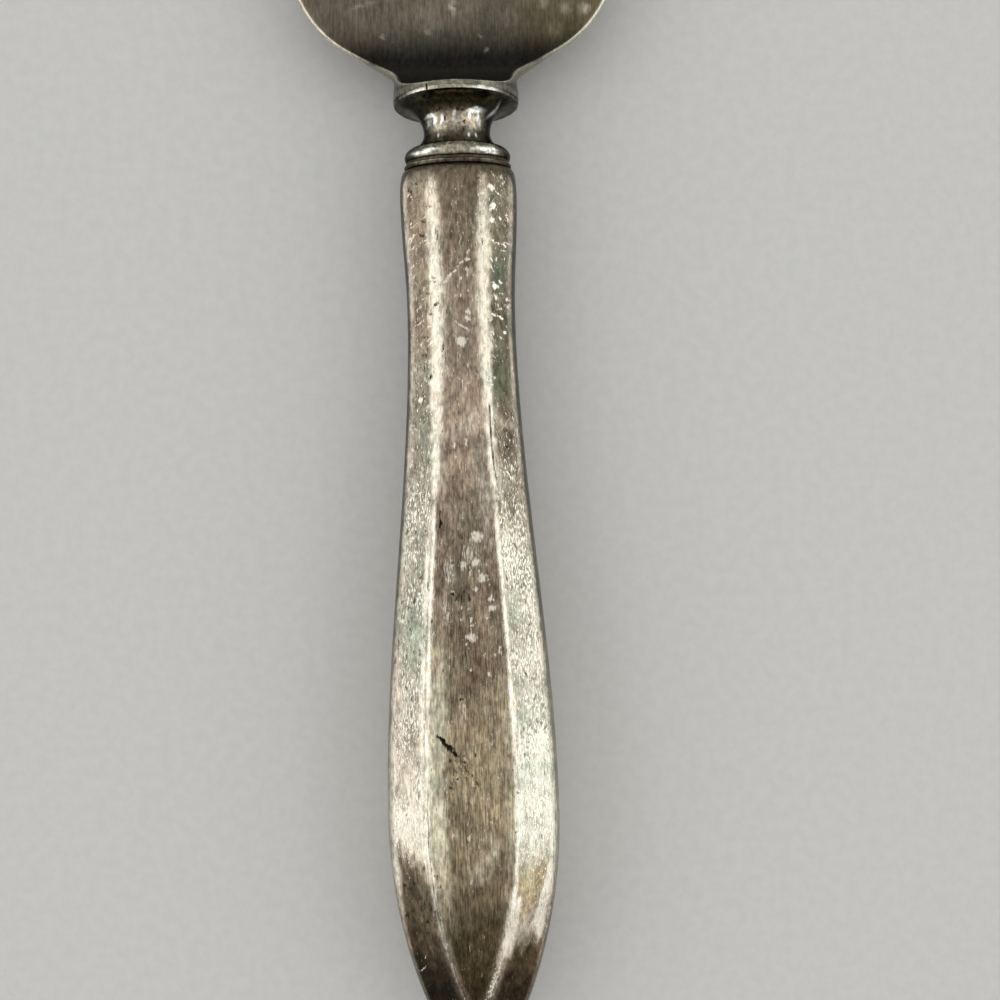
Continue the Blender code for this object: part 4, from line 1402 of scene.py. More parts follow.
@dataclass
class Neck:
    """The oval neck: the mouth cap, the bolster with its bead and flange, and the solder on both sides."""

    handle: HandleForm
    cap_height: float = 0.0005
    cap_depth: float = 0.004
    cap_fit: float = 0.0003
    cap_round: float = 0.00022
    cap_steps: int = 12
    # Where on the cap's round the painted highlight line lies, as a turn in radians, and how far it
    # spreads.
    cap_line: Limits = (0.7, 0.36)
    mouth_film: float = 0.00025
    film_sunk: float = 0.00018
    root_sunk: float = 0.000005
    film_waver: float = 0.02
    bead_height: float = 0.0013
    bead_width: float = 0.0101
    bead_thickness: float = 0.0062
    bead_crest: float = 0.3
    bead_undercut: float = 0.0002
    waist_width: float = 0.0063
    waist_thickness: float = 0.0058
    waist_run: float = 0.0014
    waist_foot: float = 0.0008
    collar_width: float = 0.0118
    flange_thickness: float = 0.00035
    flange_round: float = 0.00009
    lip_steps: int = 5
    root_film: float = 0.00025
    tang_width: float = 0.0034
    tang_thickness: float = 0.0018
    tang_fit: float = 0.0003
    segments: int = 288
    bead_steps: int = 24
    foot_steps: int = 14
    flare_steps: int = 60
    # Tones along the bolster from the bead, in millimetres, for its upper face and for its flanks: tarnish,
    # and painted reflections that make bright and dark bands, a highlight on the flange's lip and dark
    # flanks.
    face_tones: Tones = (
        (0.0, (0.06, 0.05, 0.034)), (0.12, (0.22, 0.2, 0.155)), (0.35, (0.42, 0.39, 0.305)),
        (0.6, (0.36, 0.335, 0.255)), (0.9, (0.2, 0.187, 0.138)), (1.2, (0.09, 0.083, 0.058)),
        (1.3, (0.05, 0.044, 0.028)), (1.6, (0.055, 0.049, 0.03)), (2.2, (0.15, 0.135, 0.1)),
        (2.6, (0.38, 0.33, 0.25)), (3.4, (0.43, 0.37, 0.28)), (4.0, (0.1, 0.08, 0.052)),
        (4.3, (0.045, 0.036, 0.021)), (4.6, (0.018, 0.014, 0.008)), (4.85, (0.03, 0.024, 0.013)),
        (5.0, (0.06, 0.05, 0.03)), (5.12, (0.12, 0.106, 0.074)), (5.25, (0.12, 0.106, 0.074)),
        (5.28, (0.46, 0.43, 0.34)), (5.4, (0.3, 0.28, 0.215)), (5.6, (0.25, 0.235, 0.18)),
    )
    flank_tones: Tones = (
        (0.0, (0.02, 0.017, 0.01)), (0.6, (0.11, 0.1, 0.075)), (1.2, (0.03, 0.028, 0.02)),
        (3.5, (0.026, 0.026, 0.019)), (5.2, (0.03, 0.03, 0.022)), (5.3, (0.17, 0.16, 0.12)),
        (5.6, (0.06, 0.057, 0.043)),
    )
    glint: Rgb = (0.96, 0.98, 0.93)
    # Plain tone that the flanks and the underside are moved towards, so that the painted dark reflections
    # stay on the upper face.
    side: Rgb = (0.27, 0.255, 0.2)
    land: Rgb = (0.2, 0.188, 0.145)
    # Colour of the painted highlight on the cap's thin ring.
    ring: Rgb = (0.78, 0.73, 0.6)
    groove: Rgb = (0.075, 0.064, 0.044)
    finish: PlateFinish = PlateFinish(
        "neck_plate_finish", 0.17, 0.12, 0.45, edge_level=0.55, bright=(0.93, 0.94, 0.88), fleck=0.3,
        brush_scale=(4200.0,) * 3, band_scale=(1500.0,) * 3, fleck_scale=(3300.0,) * 3,
        mottle_scale=(1900.0, 1500.0, 1900.0), relief=0.000009,
    )
    glints: Marks = Mark.rows(
        (-2.35, 3.75, 0.8, 0.3, 0.0, 1.3), (-1.95, 3.2, 0.24, 0.9, 0.0, 1.3),
        (-2.5, 3.2, 0.5, 0.7, 0.0, 0.5), (-1.3, 3.3, 0.3, 0.8, 0.0, 0.9),
        (-0.1, 3.5, 0.9, 0.26, 82.0, 0.7), (0.1, 3.0, 0.4, 0.3, 0.0, 0.5),
        (1.8, 4.0, 0.42, 1.5, -75.0, 1.3), (1.3, 3.6, 0.22, 0.65, 0.0, 1.3),
        (2.1, 3.3, 0.36, 1.0, 0.0, 1.3), (-1.7, 1.8, 0.14, 0.4, 0.0, 0.9), (1.25, 1.85, 0.16, 0.4),
        (1.8, 1.85, 0.16, 0.45), (3.4, 4.25, 0.16, 1.7, -44.0, 0.6), (-2.4, 0.5, 1.6, 0.34, 0.0, 1.1),
        (2.6, 0.52, 2.0, 0.3, 0.0, 1.1), (-3.7, 0.4, 1.0, 0.34, 0.0, 0.8),
        (3.2, 0.2, 0.9, 0.16, 0.0, 0.8), (2.6, 5.32, 2.6, 0.12), (-3.6, 5.33, 1.3, 0.14),
    )
    # Dark marks, in millimetres across and from the mouth: real crack lines on the flange and the bead, and
    # painted dark reflections on the waist beside its glints and at its foot.
    cracks_and_dark_reflections: Marks = Mark.rows(
        (-2.5, -6.35, 0.12, 0.8, 14.0, 2.0), (-0.95, -4.05, 0.2, 0.7, 5.0, 0.75),
        (0.75, -3.7, 0.45, 0.45, 0.0, 0.75), (0.3, -4.75, 1.2, 0.25, 8.0, 0.7),
        (-1.6, -4.85, 0.7, 0.2, -12.0, 0.7), (-2.75, -3.9, 0.18, 0.6, 0.0, 0.7),
        (-2.0, -1.55, 0.5, 0.14, 20.0, 0.8), (-0.6, -1.75, 0.7, 0.12, -15.0, 0.8),
        (1.0, -1.5, 0.14, 0.5, 25.0, 0.9), (2.2, -1.65, 0.8, 0.12, -8.0, 0.8),
        (3.2, -1.3, 0.12, 0.6, -30.0, 0.8), (-3.3, -1.35, 0.6, 0.12, 25.0, 0.8),
        (0.6, -3.1, 0.8, 0.7, 0.0, 0.7), (-1.2, -2.4, 1.4, 0.35, 0.0, 0.7),
    )
    dent: float = 0.016
    dent_size: float = 0.9
    foot_curve: float = 2.2
    shake_size: float = 0.8
    film_finish: PlateFinish = PlateFinish("neck_solder_finish", 0.4, 0.2, 0.35)

    @property
    def bead_y(self) -> float:
        """Where the bead begins."""
        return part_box("bolster")[0].y

    @property
    def flange_y(self) -> float:
        """The far face of the flange."""
        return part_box("bolster")[1].y

    @property
    def collar_y(self) -> float:
        """The edge of the flange on the side of the handle."""
        return self.flange_y - self.flange_thickness

    @property
    def angles(self) -> Array:
        """Angle of each point of a ring about the tool's axis."""
        return np.linspace(0.0, 2 * math.pi, self.segments, endpoint=False)

    def ring_at(self, across: Array, up: Array, y: float) -> Array:
        """A ring from the places of its points across the tool and up from its axis."""
        return np.stack([across, np.full(self.segments, y), self.handle.axis_z + up], 1)

    def oval_at(self, half_width: float, half_height: float, y: float) -> Array:
        """An oval ring of the neck."""
        return self.ring_at(half_width * np.cos(self.angles), half_height * np.sin(self.angles), y)

    def slot_at(self, y: float) -> Array:
        """A ring of the slot that the tang passes through.

        Args:
            y: Where it lies along the tool.

        Returns:
            The points, one a row.
        """
        half_width = self.tang_width / 2 + self.tang_fit
        half_height = self.tang_thickness / 2 + self.tang_fit
        across, up = np.cos(self.angles), np.sin(self.angles)
        with np.errstate(divide="ignore"):
            reach = np.minimum(half_width / np.abs(across), half_height / np.abs(up))
        return self.ring_at(reach * across, reach * up, y)

    def tube(self, rings: list[Array], paints: list[Paint]) -> Skin:
        """A closed skin through outer rings, with the slot for the tang through it."""
        ends = [self.slot_at(ring[0, 1]) for ring in (rings[-1], rings[0])]
        return Skin.loft(rings + ends, paints + [Paint.plain(self.segments, PATINA)] * 2, closed=True)

    def dented(self, ring: Array) -> Array:
        """Sinks a ring a little in places.

        Args:
            ring: The ring's points.

        Returns:
            The sunk points.
        """
        from_axis = ring - np.array((0.0, ring[0, 1], self.handle.axis_z))
        dents = clouds(ring[:, 0] / MM, (ring[:, 1] + ring[:, 2]) / MM, self.dent_size, 3.0)
        return ring - from_axis * ((0.5 + 0.5 * dents) * self.dent)[:, None]

    @property
    def profile(self) -> list[Triple]:
        """Half width, half height and place of each ring of the bolster, from its bead to its flange."""
        crest = (self.bead_width / 2, self.bead_thickness / 2)
        waist = (self.waist_width / 2, self.waist_thickness / 2)
        drop = (crest[0] - waist[0] - self.waist_foot, crest[1] - waist[1])
        rings = []
        for turn in np.linspace(-math.pi / 2, 0.0, self.bead_steps // 3, endpoint=False):
            draw = self.bead_undercut * (1 - math.cos(turn))
            y = self.bead_y + self.bead_height * self.bead_crest * (1 + math.sin(turn))
            rings.append((crest[0] - draw, crest[1] - draw, y))
        for turn in np.linspace(0.0, math.pi / 2, self.bead_steps + 1):
            sunk = 1 - math.cos(turn)
            y = self.bead_y + self.bead_height * (self.bead_crest + (1 - self.bead_crest) * math.sin(turn))
            rings.append((crest[0] - drop[0] * sunk, crest[1] - drop[1] * sunk, y))
        waist_y = self.bead_y + self.bead_height + self.waist_run
        for share in np.linspace(1.0, 0.0, self.foot_steps, endpoint=False)[1:]:
            foot = self.waist_foot * share**self.foot_curve
            rings.append((waist[0] + foot, waist[1], waist_y - self.waist_run * share))
        flange = (self.collar_width / 2, self.handle.axis_z)
        lip = self.flange_round
        rise = (flange[0] - lip - waist[0], flange[1] - lip - waist[1])
        for turn in np.linspace(0.0, math.pi / 2, self.flare_steps + 1):
            flare = 1 - math.cos(turn)
            y = waist_y + (self.collar_y - waist_y) * math.sin(turn)
            rings.append((waist[0] + rise[0] * flare, waist[1] + rise[1] * flare, y))
        for turn in np.linspace(0.0, math.pi / 2, self.lip_steps + 1)[1:]:
            draw = lip * (1 - math.sin(turn))
            rings.append((flange[0] - draw, flange[1] - draw, self.collar_y + lip * (1 - math.cos(turn))))
        return rings + [(*flange, self.flange_y)]

    def bolster(self) -> Skin:
        """Makes the bead, the waist, the flare and the flange.

        Returns:
            The skin with its paint.
        """
        rings = [self.dented(self.oval_at(*ring)) for ring in self.profile]
        across, upward = np.cos(self.angles), np.abs(np.sin(self.angles))
        paints = []
        for ring in rings:
            along = (ring[:, 1] - self.bead_y) / MM
            shake = clouds(across * 4.0, along, self.shake_size, 11.0)
            on_waist, on_bead = window(along, 1.6, 4.6, 0.3), window(along, 0.3, 1.1, 0.15)
            shaken = along + shake * (0.12 * on_waist + 0.16 * on_bead)
            # Painted reflections: the upper face takes one scale of tones and the flanks another.
            face = step(upward + 0.08 * shake, 0.45, 0.9)
            tint = blend(tones_at(shaken, self.flank_tones), tones_at(shaken, self.face_tones), face)
            # The flanks and underside, away from the painted reflections, are moved towards the plain side
            # tone.
            unseen = np.maximum(step(upward, 0.3, 0.05), step(np.sin(self.angles), 0.1, -0.1))
            tint = blend(tint, self.side, 0.45 * unseen)
            glint = marks_at(ring[:, 0] / MM + 0.15 * shake, along + 0.1 * shake, self.glints)
            tint = blend(tint, self.glint, 0.85 * np.minimum(glint, 1.0))
            # Dark marks: real crack lines, and painted dark reflections on the waist.
            cracks_and_dark_reflections = self.crack_share(ring, shake)
            paints.append(Paint(tint, 0.05 * face * on_bead, 0.45 * glint, cracks_and_dark_reflections, np.ones(self.segments)))
        return self.tube(rings, paints)

    def crack_share(self, ring: Array, shake: Array) -> Array:
        """How clearly the dark marks on a ring show: crack lines and painted dark reflections on its upper
        half.
        """
        places = (ring[:, 0] / MM + 0.12 * shake, (self.handle.mouth_y - ring[:, 1]) / MM + 0.1 * shake)
        return marks_at(*places, self.cracks_and_dark_reflections) * (ring[:, 2] > self.handle.axis_z)

    def cap(self) -> Skin:
        """Makes the plug in the mouth of the handle and its thin ring.

        Returns:
            The skin with its paint.
        """
        draw_in = self.handle.wall + self.cap_fit
        half = (self.handle.mouth_width / 2, self.handle.mouth_thickness / 2)
        start = self.handle.mouth_y
        profile = [(draw_in, start - self.cap_depth, 0.0), (draw_in, start, 0.0)]
        line_at, line_spread = self.cap_line
        for turn in np.linspace(-math.pi / 2, math.pi / 2, self.cap_steps + 1):
            draw = self.cap_round * (1 - math.cos(turn))
            y = start + self.cap_height / 2 * (1 + math.sin(turn))
            profile.append((draw, y, float(ridge(np.array(turn - line_at), line_spread))))
        rings = [self.oval_at(half[0] - draw, half[1] - draw, y) for draw, y, _ in profile]
        # Painted highlight along the cap's ring, broken up and brighter towards the sides.
        breaks = clouds(np.cos(self.angles), np.sin(self.angles), 0.3, 4.0)
        beside = step(np.abs(np.cos(self.angles)), 0.12, 0.4)
        worn = step(0.55 + 0.9 * breaks, 0.1, 0.9) * (0.2 + 0.8 * beside)
        paints = []
        for _, _, share in profile:
            paint = Paint.plain(self.segments, self.groove)
            paint.tint = blend(paint.tint, self.ring, worn * share)
            paints.append(paint)
        return self.tube(rings, paints)

    def film(self, half: Limits, start: float, thickness: float, waver: float, colour: Rgb) -> Skin:
        """Makes a flat oval film of solder with a wavering edge.

        Args:
            half: Half its width and height.
            start: Where it starts along the tool.
            thickness: How thick it is.
            waver: How far its edge wavers, as a share of its size.
            colour: Its colour.

        Returns:
            The skin with its paint.
        """
        breaks = clouds(np.cos(self.angles), np.sin(self.angles), 0.16, start * 900)
        rings = []
        for y in (start, start + thickness):
            ring = self.oval_at(*half, y)
            inward = ring - np.array((0.0, y, self.handle.axis_z))
            rings.append(ring - inward * ((0.5 + 0.5 * breaks) * waver)[:, None])
        paints = [Paint.plain(self.segments, colour) for _ in rings]
        for ring, paint in zip(rings, paints):
            paint.sunk = self.crack_share(ring, breaks)
        return self.tube(rings, paints)

    def build(self) -> list[Piece]:
        """Makes the neck's pieces and dresses them.

        Returns:
            The pieces.
        """
        plate = self.finish.material()
        solder = self.film_finish.material()
        handle = self.handle
        mouth_half = (self.bead_width / 2 - self.film_sunk, handle.mouth_thickness / 2 - self.film_sunk)
        mouth_start = handle.mouth_y + self.cap_height
        root_half = (self.collar_width / 2 - self.root_sunk, handle.axis_z - self.root_sunk)
        mouth = self.film(mouth_half, mouth_start, self.mouth_film, self.film_waver, self.groove)
        root = self.film(root_half, self.flange_y, self.root_film, 0.0, self.land)
        pieces = [
            place_piece("mouth_cap_ring", self.cap(), plate, "mouth_cap"),
            place_piece("bolster_plate", self.bolster(), plate, "bolster"),
        ]
        for node, skin in {"mouth_solder": mouth, "root_solder": root}.items():
            pieces.append(place_piece(f"{node}_film", skin, solder, node))
        return pieces


# Blade


@dataclass
class Blade:
    """The flat blade with its hollow root and the tang that reaches into the handle."""

    neck: Neck
    length: float = 0.062
    width: float = 0.031
    thickness: float = 0.0011
    end_flat: float = 0.0012
    root_width: float = 0.0114
    root_land: float = 0.00012
    root_fillet: float = 0.0016
    widest_at: float = 0.0139
    shoulder_radius: float = 0.0105
    shoulder_slope: float = math.radians(30)
    side_radius: float = 0.24
    edge_width: float = 0.0007
    edge_depth: float = 0.00035
    tang_depth: float = 0.04
    flatten_share: float = 0.5
    soften_from: float = 0.5
    corner_limit: float = 0.99
    corner_steps: int = 24
    flat_points: int = 120
    hollow_steps: int = 55
    shoulder_steps: int = 49
    side_steps: int = 69
    tip_steps: int = 90
    # Tones of the blade: darker by the root than further out, partly tarnish and partly painted reflection,
    # with a lighter painted reflection in the middle.
    flat: Rgb = (0.148, 0.129, 0.098)
    centre: Rgb = (0.17, 0.141, 0.108)
    olive: Rgb = (0.137, 0.12, 0.068)
    # Near-black painted reflection in the hollow ramp at the root, weaker on the underside.
    ramp: Rgb = (0.016, 0.0145, 0.0115)
    back_ramp: float = 0.4
    far: Rgb = (0.3, 0.262, 0.205)
    # Tone of the root's flanks by the flat top: painted reflection.
    flank: Rgb = (0.22, 0.207, 0.16)
    # Bright edge of the blade and line along the root's top arris: worn metal on the edge, with painted
    # highlights.
    rim: Rgb = (0.62, 0.58, 0.47)
    land: Rgb = (0.13, 0.12, 0.09)
    # Darker outer part of the root's flanks: painted reflection.
    flank_dark: Rgb = (0.1, 0.094, 0.072)
    stains: Stains = Stain.rows(
        (-6.7, -12.6, 0.5, 0.45, 0.0, 0.8, (0.33, 0.29, 0.23)),
        (-2.4, -13.0, 0.35, 0.45, 0.0, 0.8, (0.36, 0.32, 0.25)),
        (2.5, -12.5, 0.45, 0.4, 30.0, 0.8, (0.33, 0.29, 0.23)),
        (3.0, -11.15, 0.3, 0.4, 0.0, 0.7, (0.28, 0.25, 0.19)),
        (-8.6, -15.6, 0.3, 2.2, 75.0, 0.7, (0.36, 0.31, 0.25)),
        (-0.1, -15.4, 0.45, 1.6, 0.0, 0.9, (0.52, 0.44, 0.36)),
        (-2.2, -14.9, 2.6, 3.4, 0.0, 0.55, (0.24, 0.195, 0.15)),
        (10.6, -15.0, 1.0, 1.0, 0.0, 0.75, (0.3, 0.27, 0.2)),
        (8.4, -15.5, 0.9, 1.1, 0.0, 0.75, (0.29, 0.26, 0.19)),
        (12.3, -14.9, 0.9, 1.0, 0.0, 0.9, (0.45, 0.42, 0.34)),
        (9.4, -13.0, 1.4, 1.6, 20.0, 0.6, (0.21, 0.185, 0.11)),
        (7.0, -14.3, 1.6, 2.4, 10.0, 0.5, (0.075, 0.065, 0.04)),
        (11.2, -13.4, 1.2, 1.6, 0.0, 0.5, (0.09, 0.08, 0.048)),
        (-11.0, -14.2, 2.2, 2.4, 0.0, 0.4, (0.085, 0.078, 0.062)),
    )
    finish: PlateFinish = PlateFinish(
        "blade_plate_finish", 0.28, 0.2, 0.16, hairs=0.5, fleck=0.22, specks=0.3,
        brush_scale=(9000.0, 280.0, 9000.0), band_scale=(2600.0, 120.0, 2600.0),
        mottle_scale=(170.0, 120.0, 170.0),
    )

    @property
    def seat_y(self) -> float:
        """Where the blade's root sits on the solder."""
        return self.neck.flange_y + self.neck.root_film

    @property
    def axis_z(self) -> float:
        """Height of the tool's axis."""
        return self.neck.handle.axis_z

    @property
    def hollow_radius(self) -> float:
        """Radius of the hollow ramp between the seat and the flat of the blade."""
        return self.axis_z - self.thickness / 2

    @property
    def hollow_end(self) -> float:
        """Where the hollow ramp runs out into the flat of the blade."""
        return self.root_land + self.hollow_radius

    @property
    def tip_radius(self) -> float:
        """Radius of the blade's round end, which runs smoothly into its long sides."""
        side_centre = self.side_radius - self.width / 2
        run = self.length - self.widest_at
        return (self.side_radius**2 - side_centre**2 - run**2) / (2 * (self.side_radius - run))

    @property
    def tip_start(self) -> float:
        """Where the long sides run into the round end."""
        centre = self.length - self.tip_radius
        return centre + self.tip_radius * (centre - self.widest_at) / (self.side_radius - self.tip_radius)

    def half_width(self, t: float) -> float:
        """Half the blade's width.

        Args:
            t: Distance from the seat.

        Returns:
            Half the width there.
        """
        slope, round_edge = self.shoulder_slope, self.shoulder_radius
        arc_x = self.width / 2 - round_edge + round_edge * math.sin(slope)
        arc_t = self.widest_at - round_edge * math.cos(slope)
        root_t = arc_t - (arc_x - self.root_width / 2) * math.tan(slope)
        reach = self.root_fillet * math.tan((math.pi / 2 - slope) / 2)
        if t <= root_t - reach:
            return self.root_width / 2
        if t <= root_t + reach * math.sin(slope):
            depth = t - (root_t - reach)
            return self.root_width / 2 + self.root_fillet - math.sqrt(self.root_fillet**2 - depth**2)
        if t <= arc_t:
            return arc_x - (arc_t - t) / math.tan(slope)
        if t <= self.widest_at:
            return self.width / 2 - round_edge + math.sqrt(round_edge**2 - (self.widest_at - t) ** 2)
        if t <= self.tip_start:
            reach = math.sqrt(self.side_radius**2 - (t - self.widest_at) ** 2)
            return self.width / 2 - self.side_radius + reach
        beyond = t - (self.length - self.tip_radius)
        return math.sqrt(max((self.end_flat / 2) ** 2, self.tip_radius**2 - beyond**2))

    def half_height(self, t: float) -> float:
        """Half the blade's thickness, which swells in a hollow up to the collar at its seat.

        Args:
            t: Distance from the seat.

        Returns:
            Half the thickness there.
        """
        if t <= self.root_land:
            return self.axis_z
        if t >= self.hollow_end:
            past_flat = max(0.0, 1 - (self.length - t) / self.edge_width)
            return self.thickness / 2 - self.edge_depth * (1 - math.sqrt(max(0.0, 1 - past_flat**2)))
        return self.axis_z - math.sqrt(max(0.0, self.hollow_radius**2 - (self.hollow_end - t) ** 2))

    def ring(self, half_width: float, half_height: float, corner: Limits, y: float) -> Array:
        """A section with rounded corners and points spread over its two flats.

        Args:
            half_width: Half its width.
            half_height: Half its height.
            corner: Width and height of each rounded corner.
            y: Where it lies along the tool.

        Returns:
            The points, one a row.
        """
        inner = half_width - corner[0]
        level = half_height - corner[1]
        corners = []
        for quarter, (side, face) in enumerate(((1, 1), (-1, 1), (-1, -1), (1, -1))):
            turns = math.pi / 2 * (quarter + np.linspace(0.0, 1.0, self.corner_steps + 1))
            across = side * inner + corner[0] * np.cos(turns)
            up = face * level + corner[1] * np.sin(turns)
            corners.append(np.stack([across, up], 1))
        return self.joined(corners, inner, half_height, y)

    def column(self, half_width: float, half_height: float, y: float) -> Array:
        """A section of the oval root, cut level above and below by the hollow.

        Args:
            half_width: Half its width.
            half_height: Half its height.
            y: Where it lies along the tool.

        Returns:
            The points, one a row.
        """
        top_turn = math.asin(min(1.0, half_height / self.axis_z))
        rise = np.linspace(0.0, top_turn, self.corner_steps + 1)
        corners = []
        for turns in (rise, math.pi - rise[::-1], math.pi + rise, -rise[::-1]):
            corners.append(np.stack([half_width * np.cos(turns), self.axis_z * np.sin(turns)], 1))
        return self.joined(corners, half_width * math.cos(top_turn), half_height, y)

    def joined(self, corners: list[Array], inner: float, half_height: float, y: float) -> Array:
        """Four corners, and the two flats between them, as one ring.

        Args:
            corners: The corners in turn, from the right one above.
            inner: Half the width of the flats.
            half_height: How far the flats lie from the axis.
            y: Where the ring lies along the tool.

        Returns:
            The points, one a row.
        """
        flat = np.linspace(1.0, -1.0, self.flat_points + 2)[1:-1] * inner
        top = np.stack([flat, np.full(len(flat), half_height)], 1)
        points = np.concatenate([corners[0], top, corners[1], corners[2], -top, corners[3]])
        return np.stack([points[:, 0], np.full(len(points), y), self.axis_z + points[:, 1]], 1)

    def section(self, t: float) -> Array:
        """A section of the blade: the cut oval of its root, and further on a plate with soft edges.

        Args:
            t: Distance from the seat.

        Returns:
            The points, one a row.
        """
        flat = min(1.0, max(0.0, (t - self.root_land) / (self.hollow_end * self.flatten_share)))
        half_width = ease(self.neck.collar_width / 2, self.half_width(t), flat)
        half_height = self.half_height(t)
        corner = (
            min(self.edge_width, self.corner_limit * half_width),
            min(self.edge_depth, self.corner_limit * half_height),
        )
        root = self.column(half_width, half_height, self.seat_y + t)
        plate = self.ring(half_width, half_height, corner, self.seat_y + t)
        return root + (plate - root) * step(t, self.soften_from * self.hollow_end, self.hollow_end)

    @property
    def places(self) -> Array:
        """Distances from the seat at which sections are taken."""
        turns = np.linspace(0.0, math.pi / 2, self.hollow_steps + 1)
        tip_from = math.asin((self.tip_start - self.length + self.tip_radius) / self.tip_radius)
        tip_turns = np.linspace(tip_from, math.pi / 2, self.tip_steps, endpoint=False)
        return np.concatenate(
            [
                [0.0],
                self.hollow_end - self.hollow_radius * np.cos(turns),
                np.linspace(self.hollow_end, self.widest_at, self.shoulder_steps + 1)[1:],
                np.linspace(self.widest_at, self.tip_start, self.side_steps + 1)[1:-1],
                self.length - self.tip_radius + self.tip_radius * np.sin(tip_turns),
                [self.length],
            ]
        )

    def skin(self) -> Skin:
        """Makes the blade, its root and its tang one closed skin.

        Returns:
            The skin with its paint.
        """
        tang_corner = (self.neck.tang_fit / 2, self.neck.tang_fit / 2)
        tang_end = self.neck.handle.mouth_y - self.tang_depth
        half = (self.neck.tang_width / 2, self.neck.tang_thickness / 2)
        rings = [self.ring(*half, tang_corner, y) for y in (tang_end, self.seat_y)]
        paints = [Paint.plain(len(ring), PATINA) for ring in rings]
        for t in self.places:
            rings.append(self.section(t))
            paints.append(self.paint(rings[-1], t))
        return Skin.loft(rings, paints, closed=False)

    def paint(self, ring: Array, t: float) -> Paint:
        """Paint of one section.

        Args:
            ring: The section's points.
            t: Its distance from the seat.

        Returns:
            The paint.
        """
        across = ring[:, 0]
        half_width = np.abs(across).max()
        along = np.full(len(across), t / MM)
        # Darker by the root, partly painted reflection, with a lighter painted reflection in the middle.
        tint = blend(np.tile(self.flat, (len(across), 1)), self.far, step(along, 12.0, 42.0))
        tint = blend(tint, self.centre, ridge(across / MM, 5.0) * window(along, 8.0, 12.0, 4.0))
        tint = blend(tint, self.olive, step(across / MM, 4.0, 9.0) * 0.8 * step(along, 40.0, 10.0))
        # Painted dark reflection in the hollow ramp, weaker underneath.
        upper = np.where(ring[:, 2] > self.axis_z, 1.0, self.back_ramp)
        tint = blend(tint, self.ramp, step(along, 8.3, 3.5) * upper)
        tint = blend(tint, self.land, step(along, self.root_land / MM + 0.05, self.root_land / MM))
        from_rim = np.minimum(half_width - np.abs(across), self.length - t) / MM
        root = step(along, 4.6, 2.6)
        flat_half = half_width * math.sqrt(max(0.0, 1 - (self.half_height(t) / self.axis_z) ** 2))
        # Painted reflection on the root's flanks and painted highlight on its arris, with the bright worn
        # edge further out.
        past_flat = (np.abs(across) - flat_half) / MM
        tint = blend(tint, self.flank, root * step(past_flat, -0.04, 0.05))
        tint = blend(tint, self.flank_dark, root * step(past_flat, 0.25, 0.6) * step(along, 0.1, 0.4))
        rim = np.maximum(step(from_rim, 0.36, 0.12) * (1 - root), 0.8 * root * ridge(past_flat, 0.14))
        tint = blend(tint, self.rim, rim)
        from_mouth = (self.neck.handle.mouth_y - ring[:, 1]) / MM
        shake = 0.3 * clouds(across / MM, from_mouth, 0.4, 6.0)
        for stain in self.stains:
            share = stain.shown(across / MM + shake, from_mouth - shake) * (ring[:, 2] > self.axis_z)
            tint = blend(tint, stain.tone, share * (1 - rim))
        none, full = np.zeros(len(across)), np.ones(len(across))
        wear = 0.02 + 0.1 * step(along, 8.0, 16.0) + 0.4 * rim * (1 - root)
        cracks_and_dark_reflections = self.neck.crack_share(ring, 0 * across)
        return Paint(tint, wear, none, cracks_and_dark_reflections, full)

    def build(self) -> list[Piece]:
        """Makes the blade and dresses it."""
        finish = self.finish.material()
        return [place_piece("blade_plate", self.skin(), finish, "blade")]


# Studio


@dataclass(frozen=True)
class Softbox:
    """A broad soft lamp that looks at the tool."""

    name: str
    place: Triple
    size: Limits
    radiance: float

    def build(self, target: Vector) -> None:
        """Hangs the lamp.

        Args:
            target: The point that it looks at.
        """
        light = bpy.data.lights.new(self.name, "AREA")
        light.shape = "RECTANGLE"
        light.size, light.size_y = self.size
        light.energy = self.radiance * math.pi * self.size[0] * self.size[1]
        lamp = bpy.data.objects.new(self.name, light)
        bpy.context.scene.collection.objects.link(lamp)
        lamp.location = self.place
        lamp.rotation_euler = (target - Vector(self.place)).to_track_quat("-Z", "Y").to_euler()


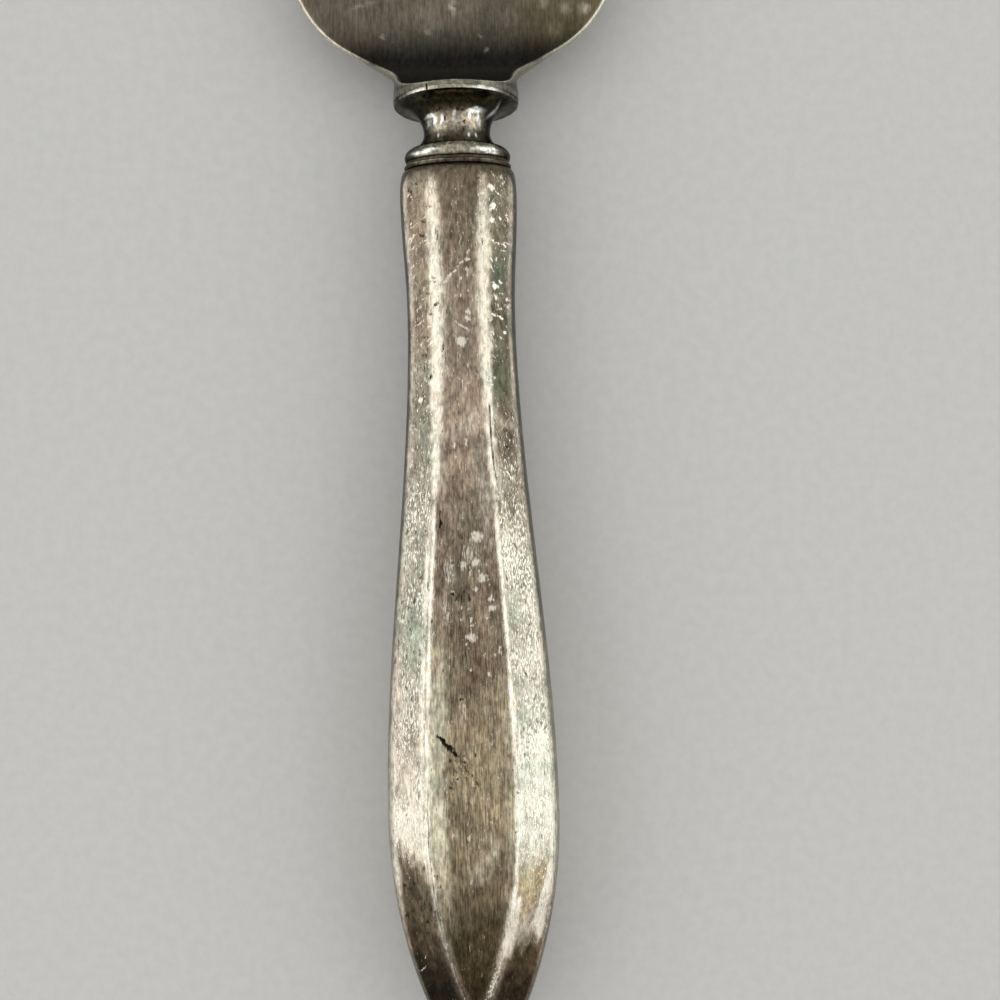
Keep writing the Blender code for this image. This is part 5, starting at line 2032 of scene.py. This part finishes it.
@dataclass
class Studio:
    """The pale floor, the soft light and the camera, which looks straight down on the tool."""

    floor_size: float = 6.0
    floor_gap: float = 0.00002
    floor_light: Rgb = (0.6, 0.6, 0.585)
    floor_dark: Rgb = (0.57, 0.57, 0.555)
    floor_roughness: float = 0.85
    floor_grain: float = 900.0
    sky_level: float = 0.72
    zenith_level: float = 0.78
    sky_colour: Rgb = (1.0, 0.99, 0.97)
    camera_height: float = 0.11308
    camera_across: float = 0.0032
    camera_along: float = -0.02218
    camera_turn: float = math.radians(-1.45)
    focal_length: float = 41.04
    nearest_shown: float = 0.005
    softboxes: tuple[Softbox, ...] = (
        Softbox("left_softbox", (-0.42, -0.02, 0.3), (0.6, 0.36), 0.72),
        Softbox("right_softbox", (0.42, -0.02, 0.3), (0.6, 0.36), 0.72),
    )

    def build_floor(self) -> None:
        """Lays the floor just under the tool."""
        bpy.ops.mesh.primitive_plane_add(size=self.floor_size, location=(0.0, 0.0, -self.floor_gap))
        floor = bpy.context.object
        floor.name = "floor"
        colours = (self.floor_light, self.floor_dark)
        finish = PlainFinish("pale_floor", *colours, self.floor_roughness, 0.0, self.floor_grain)
        floor.data.materials.append(finish.material())

    def build_sky(self) -> None:
        """Makes the even light from all round, a little stronger overhead."""
        world = bpy.data.worlds.new("soft_sky")
        bpy.context.scene.world = world
        world.use_nodes = True
        graph = Graph(world.node_tree)
        upward = graph.made("ShaderNodeSeparateXYZ", {0: graph.coords("Generated")}, "Z")
        level = graph.span(upward, 0.2, 1.0, self.sky_level, self.zenith_level)
        background = world.node_tree.nodes["Background"]
        graph.put(background.inputs["Strength"], level)
        background.inputs["Color"].default_value = (*self.sky_colour, 1.0)

    def build_camera(self) -> None:
        """Hangs the camera over the handle."""
        data = bpy.data.cameras.new("camera")
        data.lens = self.focal_length
        data.clip_start = self.nearest_shown
        camera = bpy.data.objects.new("camera", data)
        bpy.context.scene.collection.objects.link(camera)
        camera.location = (self.camera_across, self.camera_along, self.camera_height)
        camera.rotation_euler = (0.0, 0.0, self.camera_turn)
        bpy.context.scene.camera = camera

    def build(self) -> None:
        """Sets up the whole studio."""
        self.build_floor()
        self.build_sky()
        self.build_camera()
        for softbox in self.softboxes:
            softbox.build(Vector((0.0, self.camera_along, 0.0)))
        bpy.context.scene.view_settings.view_transform = "Standard"
        LOG.info("studio has %d softboxes", len(self.softboxes))


def main() -> None:
    """Builds the studio and the tool."""
    logging.basicConfig(level=logging.INFO, format="%(name)s: %(message)s")
    Studio().build()
    form = HandleForm.from_frame()
    neck = Neck(form)
    for assembly in (Handle(form), neck, Blade(neck)):
        for piece in assembly.build():
            LOG.info("%s is in place", piece.name)


if __name__ == "__main__":
    main()
